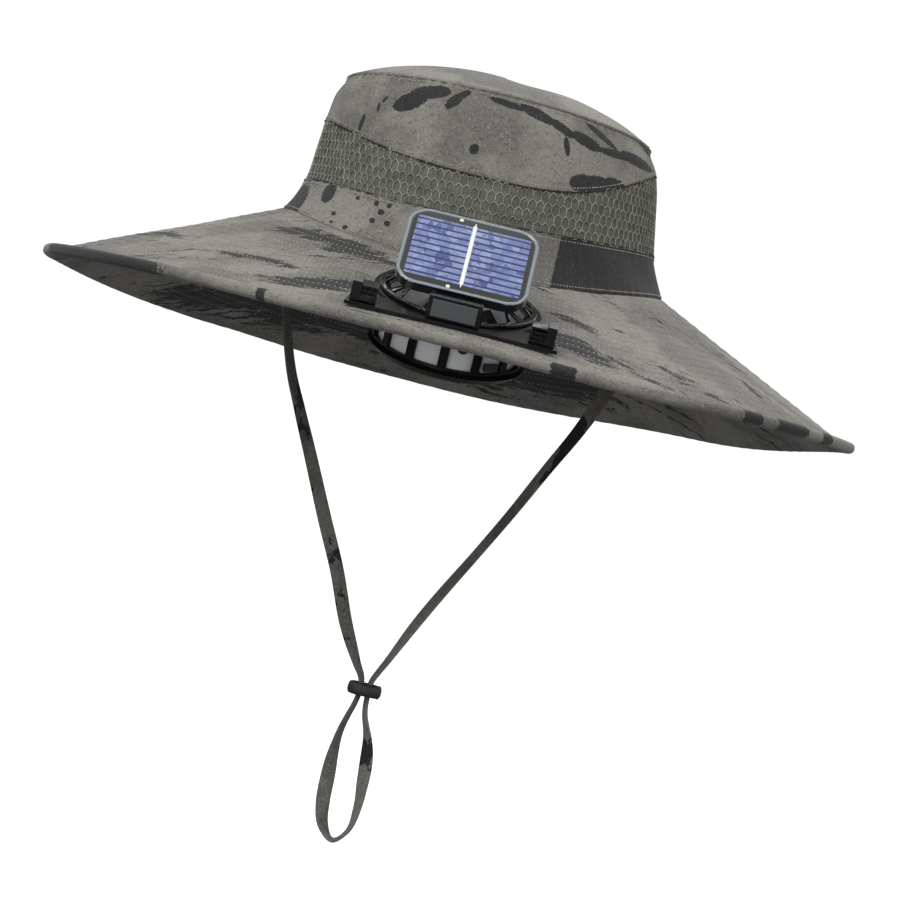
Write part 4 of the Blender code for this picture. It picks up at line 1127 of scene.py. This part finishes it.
@dataclass
class NetBand:
    """The knitted net: a fine ground with a raised hexagonal yarn on it."""

    finishes: Finishes
    cell_width: float = 3.9 * MM
    cell_height: float = 5.2 * MM
    yarn: float = 0.5 * MM
    thickness: float = 1.2 * MM

    def surface(self, angle: Array, height: Array, outward: Array | float = 0.0) -> Array:
        """The net's face: the crown's form with slow waves round the hat."""
        slack = waves(angle * 11, 31) * 0.45 * MM
        return FORM.crown(angle, height, outward + slack)

    def ground(self) -> None:
        """The closed ground wall, a little inside the yarn."""
        columns, rows = 480, 26
        angle = full_turn(columns)[None]
        part = np.linspace(0, 1, rows)[:, None]
        angle, part = np.broadcast_arrays(angle, part)
        low, high = FORM.net_low(angle) - 0.004, FORM.net_high(angle) + 0.004
        outer = self.surface(angle, low + (high - low) * part, -0.35 * MM)
        inner = outer - grid_normals(outer) * (self.thickness - 0.35 * MM)
        points = np.concatenate([outer.reshape(-1, 3), inner.reshape(-1, 3)])
        faces = shell_faces(grid_quads(rows, columns), rows * columns)
        piece = mesh_object("net_ground", points, [faces])
        hand_over(piece, self.finishes.net_ground, Body.HAT, "net_cloth", "crown_mesh")

    def hexagons(self) -> tuple[Array, Array]:
        """The yarn's runs: six-sided cells in rows, each cell giving its left side and its two lower sides.

        Returns:
            Start and end of each run as (angle, height in metres over the lower seam).
        """
        radius = (FORM.half_width + FORM.half_depth) / 2 * 0.9
        around = int(2 * math.pi * radius / self.cell_width)
        wide = 2 * math.pi / around
        tall = self.cell_height * 0.74
        rows = int(50 * MM / tall) + 2
        i, j = np.meshgrid(np.arange(rows), np.arange(around), indexing="ij")
        middle = (j + 0.5 * (i % 2)) * wide
        foot = i * tall
        side = self.cell_height * 0.44
        left_low = np.stack([middle - wide / 2, foot], axis=-1)
        left_high = np.stack([middle - wide / 2, foot + side], axis=-1)
        right_low = np.stack([middle + wide / 2, foot], axis=-1)
        point_low = np.stack([middle, foot - (tall - side)], axis=-1)
        start = np.concatenate([left_low, left_low, right_low], axis=None).reshape(-1, 2)
        end = np.concatenate([left_high, point_low, point_low], axis=None).reshape(-1, 2)
        return start, end

    def yarns(self) -> None:
        """The yarn: a five-sided tube along each run, its corners on the net's face."""
        start, end = self.hexagons()
        angle = (start[:, 0] + end[:, 0]) / 2
        top = (FORM.net_high(angle) - FORM.net_low(angle)) * FORM.height
        lowest, highest = np.minimum(start[:, 1], end[:, 1]), np.maximum(start[:, 1], end[:, 1])
        inside = (lowest > -3 * MM) & (highest < top + 2 * MM)
        start, end = start[inside], end[inside]
        at = np.linspace(0, 1, 4)[None, :, None]
        runs = start[:, None] + (end - start)[:, None] * at
        low = FORM.net_low(runs[..., 0])
        height = np.clip(low + runs[..., 1] / FORM.height, low - 0.004, FORM.net_high(runs[..., 0]) + 0.004)
        path = self.surface(runs[..., 0], height)
        out = unit(self.surface(runs[..., 0], height, 1 * MM) - path)
        side = np.cross(unit(np.gradient(path, axis=1)), out)
        profile = oval(self.yarn, self.yarn * 0.9, 5)
        points = (
            path[:, :, None]
            + profile[None, None, :, :1] * side[:, :, None]
            + profile[None, None, :, 1:] * out[:, :, None]
        )
        count = len(path)
        quads = grid_quads(4, 5)[:, ::-1]
        caps = np.stack([np.arange(5), 15 + np.arange(5)[::-1]])
        offset = 20 * np.arange(count)[:, None, None]
        faces = [(quads[None] + offset).reshape(-1, 4), (caps[None] + offset).reshape(-1, 5)]
        piece = mesh_object("net_yarn", points.reshape(-1, 3), faces)
        hand_over(piece, self.finishes.net_yarn, Body.HAT, "net_cloth")

    def build(self) -> None:
        """Build the net."""
        self.ground()
        self.yarns()


@dataclass
class Brim:
    """The quilted brim with its rows of stitches and its rolled binding."""

    finishes: Finishes
    rows: int = 110
    columns: int = 360
    stitch_rows: int = 17
    groove: float = 0.3 * MM
    hole: float = 32.3 * MM
    fan_reach: float = 47 * MM

    def reaches(self) -> Array:
        """The stitch rows' places between the edge (0) and the crown (1)."""
        return np.linspace(0.035, 0.955, self.stitch_rows)

    def relief(self, angle: Array, reach: Array) -> Array:
        """The quilting: a groove along each row of stitches with short puckers between the rows."""
        length = 100 * MM
        groove = np.zeros(np.broadcast(angle, reach).shape)
        for row in self.reaches():
            groove = groove - self.groove * np.exp(-(((reach - row) * length / (1.3 * MM)) ** 2))
        short = waves(angle * 90 + reach * 40, 41) * 0.10 * MM
        slow = waves(angle * 14 + reach * 9, 42) * 0.25 * MM
        return groove + (short + slow)

    def sheet(self, angle: Array, reach: Array, upper: bool) -> Array:
        """The brim's upper or lower face with its quilting.

        Args:
            angle: round the hat.
            reach: from the edge (0) to the crown (1).
            upper: the upper face, or else the lower one.
        """
        angle, reach = np.broadcast_arrays(angle, reach)
        base = FORM.brim(angle, reach)
        up = grid_normals(base) if base.ndim == 3 else np.array([0.0, 0.0, 1.0])
        relief = self.relief(angle, reach)[..., None]
        sway = waves(angle * 5 + 1.0, 43)[..., None] * 0.7 * MM * (1 - reach[..., None])
        base = base + up * sway
        return base + up * relief if upper else base - up * (FORM.brim_thickness + relief)

    def build_sheet(self) -> None:
        """Build the closed brim, open where the fan goes through."""
        angle = full_turn(self.columns)[None]
        reach = np.linspace(-0.03, 1.0, self.rows)[:, None]
        angle, reach = np.broadcast_arrays(angle, reach)
        upper, lower = self.sheet(angle, reach, True), self.sheet(angle, reach, False)
        centre, slope = FORM.fan_place()
        flat_y = (upper[..., 1] - centre[1]) / math.cos(slope)
        away = np.hypot(upper[..., 0], flat_y)
        quads = grid_quads(self.rows, self.columns)
        quads = quads[(away.ravel()[quads] > self.hole).all(axis=1)]
        points = np.concatenate([upper.reshape(-1, 3), lower.reshape(-1, 3)])
        faces = shell_faces(quads, self.rows * self.columns)
        used, faces = np.unique(faces, return_inverse=True)
        faces = faces.reshape(-1, 4)
        points = points[used]
        marks, plain = self.print_values(points, used < self.rows * self.columns)
        values = {"marks": marks, "plain": plain}
        piece = mesh_object("brim_cloth", points, [faces], points[:, :2], values=values)
        hand_over(piece, self.finishes.brim_cloth, Body.HAT, "camouflage_cloth", "brim")

    @staticmethod
    def print_values(points: Array, upper: Array) -> tuple[Array, Array]:
        """The brim's listed marks on each face, and how free of other print it stays."""
        above = print_field(BRIM_MARKS, points[:, 0], points[:, 1], upper)
        below = print_field(UNDER_MARKS, points[:, 0], points[:, 1], ~upper)
        return np.maximum(above, below), np.full(len(points), 0.05)

    def build_stitches(self) -> None:
        """Rows of stitches on both faces of the brim."""
        angle = full_turn(1200)
        centre, slope = FORM.fan_place()
        for name, upper, sign in (("brim_stitches_top", True, 1.0), ("brim_stitches_under", False, -1.0)):
            lines = []
            for reach in self.reaches()[:: 1 if upper else 2]:
                pair = np.array([reach, reach + 0.004])[:, None]
                rows = self.sheet(angle[None], pair, upper)
                normals = grid_normals(rows)[0] * sign
                lines.append((rows[0], normals))
            stitch = Stitch(length=0.95 * MM, pitch=2.5 * MM, width=0.5 * MM, height=0.28 * MM)
            points, faces = stitch.rows(lines)
            middle = points.reshape(-1, 10, 3).mean(axis=1)
            away = np.hypot(middle[:, 0], (middle[:, 1] - centre[1]) / math.cos(slope))
            keep = away > self.fan_reach - 12 * MM
            points = points.reshape(-1, 10, 3)[keep].reshape(-1, 3)
            count = int(keep.sum())
            faces = [faces[0][: count * 4], faces[1][: count * 8]]
            piece = mesh_object(name, points, faces)
            hand_over(piece, self.finishes.thread, Body.HAT, "camouflage_cloth")

    def build_binding(self) -> None:
        """The rolled binding: an oval carried round the brim's edge, with puckers from its seam."""
        angle = np.linspace(-math.pi, math.pi, 900, endpoint=False)
        path = FORM.edge(angle, FORM.binding / 2)
        path[:, 2] -= FORM.brim_thickness / 2
        path[:, 2] += waves(angle * 5 + 1.0, 43) * 0.7 * MM
        along = ring_along(path)
        out = np.stack([np.sin(angle), -np.cos(angle), 0 * angle], axis=-1)
        up = unit(np.cross(out, along))
        shape = oval(5.2 * MM, 6.4 * MM, 20, 2.3)
        turn = np.arctan2(shape[:, 1], shape[:, 0])
        swell = 1 + 0.03 * waves(angle * 110, 45)[:, None] * np.abs(np.cos(turn))[None]
        profile = shape[None] * swell[..., None]
        points, faces, flat = swept(path, up, out, profile, True)
        marks = print_field(WELT_MARKS, points[:, 0], points[:, 1], points[:, 1] < 0)
        values = {"marks": marks, "plain": np.zeros(len(points))}
        piece = mesh_object("brim_binding_cloth", points, faces, flat, values=values)
        hand_over(piece, self.finishes.welt_cloth, Body.HAT, "camouflage_cloth", "brim_binding")

    def build(self) -> None:
        """Build the brim."""
        self.build_sheet()
        self.build_stitches()
        self.build_binding()


# The chin strap


STRAP_ROUTE_MM = (
    (-84.7, 0, 6),
    (-85.3, 0, -8),
    (-83.8, -1, -24),
    (-80.8, -1, -41),
    (-71.6, -1, -70),
    (-62.2, -1, -90),
    (-51.0, -1, -112),
    (-38.2, 0, -138),
    (-27.0, 0, -160),
    (-17.4, 0, -182),
    (-8.2, 0, -199),
    (-3.7, 0, -207),
    (-3.5, 0, -216),
    (-7.3, 0, -231),
    (-8.4, 0, -243),
    (-8.2, 0, -256),
    (-7.6, 0, -268),
    (-5.2, 0, -278),
    (1.0, 0, -284.5),
    (7.2, 0, -278),
    (8.8, 0, -267),
    (8.6, 0, -256),
    (8.0, 0, -245),
    (6.2, 0, -234),
    (2.2, 0, -223),
    (1.2, 0, -215),
    (1.4, 0, -207),
    (6.6, 0, -195),
    (14.2, 0, -178),
    (24.2, 0, -158),
    (37.4, 0, -133),
    (47.6, 0, -113),
    (58.6, 0, -89),
    (68.4, -1, -69),
    (75.4, -1, -52),
    (80.6, -1, -34),
    (84.2, -1, -18),
    (85.0, 0, -6),
    (84.4, 0, 6),
)


@dataclass
class ChinStrap:
    """The flat strap with its slider."""

    finishes: Finishes
    width: float = 7.8 * MM
    thickness: float = 1.5 * MM
    count: int = 420
    # share of the length, turn of the flat side in degrees, width as a share
    turns: tuple[tuple[float, float, float], ...] = (
        (0.00, 80, 0.8),
        (0.04, 68, 0.9),
        (0.12, 60, 0.95),
        (0.20, 44, 1.0),
        (0.28, 38, 1.0),
        (0.34, 44, 0.9),
        (0.375, 70, 0.62),
        (0.41, 62, 0.66),
        (0.45, 20, 0.95),
        (0.485, 50, 0.9),
        (0.50, 84, 0.85),
        (0.53, 60, 0.85),
        (0.57, 30, 0.9),
        (0.60, 66, 0.64),
        (0.63, 70, 0.62),
        (0.68, 57, 0.9),
        (0.76, 60, 0.95),
        (0.86, 50, 1.0),
        (0.93, 34, 1.0),
        (0.97, 40, 0.9),
        (1.00, 80, 0.8),
    )

    def build(self) -> bpy.types.Object:
        """Build the strap: a flat oval carried down the route, turning as the table says."""
        route = np.array(STRAP_ROUTE_MM, dtype=float) * MM
        path = smooth_route(route, self.count)
        share = np.linspace(0, 1, self.count)
        table = np.array(self.turns)
        turn = np.radians(HatForm.curve(share, table[:, 0], table[:, 1]))
        wide = HatForm.curve(share, table[:, 0], table[:, 2])
        along = unit(np.gradient(path, axis=0))
        level = unit(np.cross(along, np.array([0.0, 1.0, 0.0])))
        depth = np.cross(level, along)
        side = level * np.cos(turn)[:, None] + depth * np.sin(turn)[:, None]
        out = np.cross(along, side)
        shape = oval(self.width, self.thickness, 20, 3.2)
        curl = 0.35 * MM * (np.abs(shape[:, 0]) / (self.width / 2)) ** 2
        profile = np.broadcast_to(shape, (self.count, *shape.shape)).copy()
        profile[..., 0] *= wide[:, None]
        profile[..., 1] += curl * waves(share * 40, 51)[:, None]
        profile[..., 1] *= (1 + 0.6 * (1 - wide))[:, None]
        points, faces, flat = swept(path, side, out, profile, False)
        none = np.full(len(points), -1.0)
        values = {"marks": none, "plain": none * 0}
        piece = mesh_object("chin_strap_cloth", points, faces, flat, values=values)
        weld(piece)
        hand_over(piece, self.finishes.strap_cloth, Body.HAT, "strap_cloth", "chin_strap")
        slider = self.slider()
        return piece

    def slider(self) -> bpy.types.Object:
        """The rubber slider: an oval section carried round a flattened ring, with a small moulding nub."""
        turn = full_turn(96)
        centre = np.array([-1.1, 0.0, -211.6]) * MM
        ring = oval(13.4 * MM, 7.9 * MM, 96, 2.4)
        path = centre + np.stack([ring[:, 0], ring[:, 1], 0 * turn], axis=-1)
        along = ring_along(path)
        up = np.broadcast_to([0.0, 0.0, 1.0], path.shape)
        out = np.cross(along, up)
        swell = 1 + 0.10 * np.exp(-((np.minimum(turn, 2 * math.pi - turn) / 0.25) ** 2))
        profile = oval(6.0 * MM, 2.9 * MM, 18, 2.2)[None] * swell[:, None, None]
        points, faces, _ = swept(path, up, out, profile, True)
        piece = mesh_object("slider_rubber", points, faces)
        weld(piece)
        hand_over(piece, self.finishes.rubber, Body.HAT, "black_rubber", "strap_slider")
        return piece


# The fan and the panel


@dataclass
class Fan:
    """The fan's hard parts: copies of the solids with rounded edges."""

    finishes: Finishes

    @staticmethod
    def rounded(node: str, body: Body, slot: str, finish: bpy.types.Material, edge: float) -> None:
        """Copy a solid, merge it, and round its sharp edges.

        Args:
            node: the solid.
            body: the body it rides on.
            slot: its record slot.
            finish: its material.
            edge: the rounding's width.
        """
        source = bpy.data.objects[node]
        piece = new_object(f"{node}_moulded", source.data.copy())
        shape = bmesh.new()
        shape.from_mesh(piece.data)
        bmesh.ops.remove_doubles(shape, verts=shape.verts, dist=WELD)
        bmesh.ops.dissolve_limit(shape, angle_limit=math.radians(1), verts=shape.verts, edges=shape.edges)
        shape.to_mesh(piece.data)
        shape.free()
        piece.data.shade_smooth()
        piece.data.set_sharp_from_angle(angle=SHARP_ANGLE)
        bevel = piece.modifiers.new("rounding", "BEVEL")
        bevel.width = edge
        bevel.segments = 2
        bevel.limit_method = "ANGLE"
        bevel.angle_limit = SHARP_ANGLE
        bevel.use_clamp_overlap = True
        bevel.harden_normals = True
        hand_over(piece, finish, body, slot, node)

    def build(self) -> None:
        """Dress every hard part."""
        done = self.finishes
        rows = (
            ("fan_flange", Body.HAT, "black_gloss_plastic", done.black, 0.4),
            ("fan_lug_left", Body.HAT, "black_gloss_plastic", done.satin_black, 0.3),
            ("fan_lug_right", Body.HAT, "black_gloss_plastic", done.satin_black, 0.3),
            ("fan_guard", Body.HAT, "black_gloss_plastic", done.black, 0.3),
            ("fan_housing", Body.HAT, "black_gloss_plastic", done.shade_black, 0.5),
            ("hinge_block", Body.HAT, "black_gloss_plastic", done.satin_black, 0.3),
            ("block_plate", Body.HAT, "grey_matte_plate", done.plate, 0.25),
            # the duct's near-white colour is partly a painted reflection
            ("fan_duct", Body.HAT, "grey_plastic", done.grey, 0.2),
            ("fan_switch", Body.HAT, "black_rubber", done.rubber, 0.3),
            ("fan_port", Body.HAT, "black_rubber", done.rubber, 0.2),
            ("fan_motor", Body.HAT, "motor_steel", done.steel, 0.2),
            ("hinge_pin", Body.HAT, "pin_steel", done.steel, 0.15),
            ("fan_impeller", Body.IMPELLER, "black_gloss_plastic", done.satin_black, 0.2),
            ("panel_frame", Body.PANEL, "panel_resin", done.resin, 0.7),
        )
        for node, body, slot, finish, edge in rows:
            self.rounded(node, body, slot, finish, edge * MM)


@dataclass
class Panel:
    """The solar cell: dark board, cut silicon and its bright conductor."""

    finishes: Finishes
    width: float = 55 * MM
    length: float = 44 * MM
    below_hinge: float = 4 * MM
    hinge: tuple[float, float, float] = (0, -22.5 * MM, 9.1 * MM)
    rest_tilt: float = math.radians(28.6)

    def frame(self) -> Matrix:
        """The panel's own frame: its hinge axis, with Y up the panel."""
        centre, slope = FORM.fan_place()
        fan = Matrix.Translation(Vector(centre)) @ Matrix.Rotation(slope, 4, "X")
        return fan @ Matrix.Translation(self.hinge) @ Matrix.Rotation(self.rest_tilt, 4, "X")

    def plate(
        self, name: str, low: Array, high: Array, corner: float, bottom: float, top: float
    ) -> bpy.types.Object:
        """A rounded rectangular plate: a superellipse outline filled by rings towards its middle.

        Args:
            name: the piece's name.
            low: its low corner in the panel's frame.
            high: its high corner.
            corner: how square it is, as the outline's power.
            bottom: its lower face.
            top: its upper face.
        """
        size, middle = high - low, (high + low) / 2
        ring = oval(size[0], size[1], 96, corner)
        shrink = np.array([1.0, 1.0, 0.985, 0.6, 0.0])
        level = np.array([bottom, top - 0.1 * MM, top, top, top])
        xy = middle + ring[None] * shrink[:, None, None]
        z = np.broadcast_to(level[:, None], xy.shape[:2])
        points = np.concatenate([xy, z[..., None]], axis=-1).reshape(-1, 3)
        faces = [grid_quads(5, 96), np.arange(96)[::-1][None]]
        uv = (points[:, :2] - low) / size
        piece = mesh_object(name, self.placed(points), faces, uv)
        weld(piece)
        piece.data.set_sharp_from_angle(angle=math.radians(40))
        return piece

    def placed(self, points: Array) -> Array:
        """Carry points from the panel's frame to the hat's."""
        turn = np.array(self.frame())
        return points @ turn[:3, :3].T + turn[:3, 3]

    def outline(self, inset: float, corner: float, steps: int = 14) -> Array:
        """A rectangle with round corners this far inside the panel's edge, anticlockwise."""
        half = np.array([self.width, self.length]) / 2 - inset
        middle = np.array([0.0, self.length / 2 - self.below_hinge])
        corner = max(corner - inset, 0.2 * MM)
        turn = np.linspace(0, math.pi / 2, steps)
        signs = ((1, 1), (-1, 1), (-1, -1), (1, -1))
        parts = []
        for i, sign in enumerate(signs):
            angle = turn + i * math.pi / 2
            centre = middle + (half - corner) * np.array(sign)
            parts.append(centre + corner * np.stack([np.cos(angle), np.sin(angle)], axis=-1))
        return np.concatenate(parts)

    def lip(self) -> None:
        """The resin's outer lip, a real rim whose light blue-grey colour is a painted highlight of its clear
        edge: a small oval carried round the panel's upper edge.
        """
        ring = self.outline(0.75 * MM, 9 * MM)
        path = np.column_stack([ring, np.full(len(ring), 6.45 * MM)])
        along = ring_along(path)
        up = np.broadcast_to([0.0, 0.0, 1.0], path.shape)
        points, faces, _ = swept(path, np.cross(along, up), up, oval(1.5 * MM, 1.1 * MM, 14, 2.4), True)
        piece = mesh_object("panel_lip_painted_highlight", self.placed(points), faces)
        weld(piece)
        hand_over(piece, self.finishes.lip, Body.PANEL, "panel_resin")

    def conductor(self) -> None:
        """The soldered ribbon: an oval down the panel, swelling into beads and thinning to tails."""
        low, high = -0.6 * MM, 37.2 * MM
        y = np.linspace(low, high, 320)
        bead = np.abs(np.sin(math.pi * (y - low) / (1.75 * MM)))
        tail = smoothstep(0, 1.2 * MM, np.minimum(y - low - 0.9 * MM, high - y - 0.9 * MM))
        wide = 0.30 + tail * (0.38 + 0.30 * bead)
        path = np.column_stack([0 * y, y, 0 * y + 6.9 * MM])
        shape = oval(1.9 * MM, 0.34 * MM, 12, 2.0)
        profile = shape[None] * np.stack([wide, 0.5 + 0.5 * wide], axis=-1)[:, None]
        side = np.broadcast_to([1.0, 0.0, 0.0], path.shape)
        up = np.broadcast_to([0.0, 0.0, 1.0], path.shape)
        points, faces, _ = swept(path, side, up, profile, False)
        piece = mesh_object("soldered_ribbon", self.placed(points), faces)
        weld(piece)
        hand_over(piece, self.finishes.busbar, Body.PANEL, "busbar_silver", "panel_busbar")

    def solder(self) -> None:
        """Two solder joints in the board's border: domes of revolution."""
        turn = full_turn(20)
        rise = np.linspace(0, math.pi / 2, 6)
        r, z = np.cos(rise)[:, None] * 0.95 * MM, np.sin(rise)[:, None] * 0.5 * MM
        dome = np.stack(np.broadcast_arrays(r * np.cos(turn), r * np.sin(turn), z), axis=-1).reshape(-1, 3)
        quads = grid_quads(6, 20)
        base = np.arange(20)[::-1][None]
        points, walls, bases = [], [], []
        for i, spot in enumerate(((-6.2, 37.6, 6.75), (-5.0, -1.7, 6.75))):
            points.append(dome + np.array(spot) * MM)
            walls.append(quads + 120 * i)
            bases.append(base + 120 * i)
        placed = self.placed(np.concatenate(points))
        piece = mesh_object("solder_joints", placed, [np.concatenate(walls), np.concatenate(bases)])
        weld(piece)
        hand_over(piece, self.finishes.busbar, Body.PANEL, "busbar_silver")

    def build(self) -> None:
        """Build the board, the cell, its conductor and the resin's lip."""
        low = np.array([-self.width / 2, -self.below_hinge])
        high = np.array([self.width / 2, self.length - self.below_hinge])
        board = self.plate("panel_board", low + 2.0 * MM, high - 2.0 * MM, 9.0, 5.5 * MM, 6.78 * MM)
        hand_over(board, self.finishes.border, Body.PANEL, "cell_blue", "panel_cell")
        inset = np.array([3.5 * MM, 4.7 * MM])
        cell = self.plate("silicon_cell_face", low + inset, high - inset, 60.0, 6.5 * MM, 6.86 * MM)
        hand_over(cell, self.finishes.cell, Body.PANEL, "cell_blue")
        self.lip()
        self.conductor()
        self.solder()


@dataclass
class Studio:
    """The camera at the photograph's angle, soft lights, a pale floor and a white surround."""

    distance: float = 1.2
    roll: float = math.radians(13.7)
    frame_width: float = 426.3 * MM
    aim: tuple[float, float] = (11.5 * MM, -91.8 * MM)
    floor: float = -0.42

    def camera(self) -> None:
        """Set the camera level in front of the hat, rolled as the photograph is."""
        data = bpy.data.cameras.new("camera")
        data.sensor_width = 36.0
        data.lens = 36.0 * self.distance / self.frame_width
        camera = new_object("camera", data)
        c, s = math.cos(self.roll), math.sin(self.roll)
        right, up, back = Vector((c, 0, s)), Vector((-s, 0, c)), Vector((0, -1, 0))
        turn = Matrix((right, up, back)).transposed().to_4x4()
        camera.matrix_world = Matrix.Translation((self.aim[0], -self.distance, self.aim[1])) @ turn
        bpy.context.scene.camera = camera

    def light(self, name: str, place: tuple, aim: tuple, size: float, power: float) -> None:
        """A soft square light at a place, turned towards an aim."""
        data = bpy.data.lights.new(name, "AREA")
        data.shape = "SQUARE"
        data.size = size
        data.energy = power
        lamp = new_object(name, data)
        lamp.location = place
        lamp.rotation_euler = (Vector(aim) - Vector(place)).to_track_quat("-Z", "Y").to_euler()

    def build(self) -> None:
        """Build the studio."""
        self.camera()
        self.light("key", (-0.9, -1.3, 1.2), (0, 0, -0.03), 0.8, 17.0)
        self.light("fill", (1.3, -1.2, 0.4), (0, 0, -0.05), 1.0, 5.0)
        self.light("back", (0.2, 1.2, 1.3), (0, 0, 0.0), 1.0, 9.0)
        self.light("low", (-0.3, -1.1, -0.30), (0, 0, -0.05), 0.5, 2.0)

        world = bpy.data.worlds.new("white_surround")
        bpy.context.scene.world = world
        world.use_nodes = True
        tree = world.node_tree
        seen = add_node(tree, "ShaderNodeLightPath").outputs["Is Camera Ray"]
        way = add_node(tree, "ShaderNodeTexCoord").outputs["Generated"]
        split = add_node(tree, "ShaderNodeSeparateXYZ", {"Vector": way})
        glow = add_node(
            tree,
            "ShaderNodeMapRange",
            {"Value": split.outputs["Z"], "From Min": -0.5, "From Max": 0.6, "To Min": 0.16, "To Max": 0.72},
            interpolation_type="SMOOTHSTEP",
        ).outputs[0]
        white = add_node(tree, "ShaderNodeMix", {"Factor": seen, "A": glow, "B": 1.05}, data_type="FLOAT")
        tree.nodes["Background"].inputs["Color"].default_value = (1.0, 1.0, 1.0, 1.0)
        tree.links.new(white.outputs["Result"], tree.nodes["Background"].inputs["Strength"])
        bpy.context.scene.view_settings.view_transform = "Standard"

        floor_mesh = bpy.data.meshes.new("floor")
        reach = 30.0
        corners = [(-reach, -reach, self.floor), (reach, -reach, self.floor), (reach, reach, self.floor)]
        floor_mesh.from_pydata([*corners, (-reach, reach, self.floor)], [], [(0, 1, 2, 3)])
        floor = new_object("floor", floor_mesh)
        finish = Nodes("pale_studio_floor").finish(
            {
                "Base Color": linear("FDFDFD"),
                "Roughness": 0.9,
                "Specular IOR Level": 0.0,
                "Emission Color": (1, 1, 1, 1),
                "Emission Strength": 0.5,
            }
        )
        floor.visible_diffuse = False
        floor.visible_glossy = False
        dress(floor, finish)


def main() -> None:
    """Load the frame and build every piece."""
    logging.basicConfig(level=logging.INFO, format="%(message)s")
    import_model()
    Studio().build()
    finishes = Finishes()
    ChinStrap(finishes).build()
    Crown(finishes).build()
    NetBand(finishes).build()
    Brim(finishes).build()
    Fan(finishes).build()
    Panel(finishes).build()


if __name__ == "__main__":
    main()
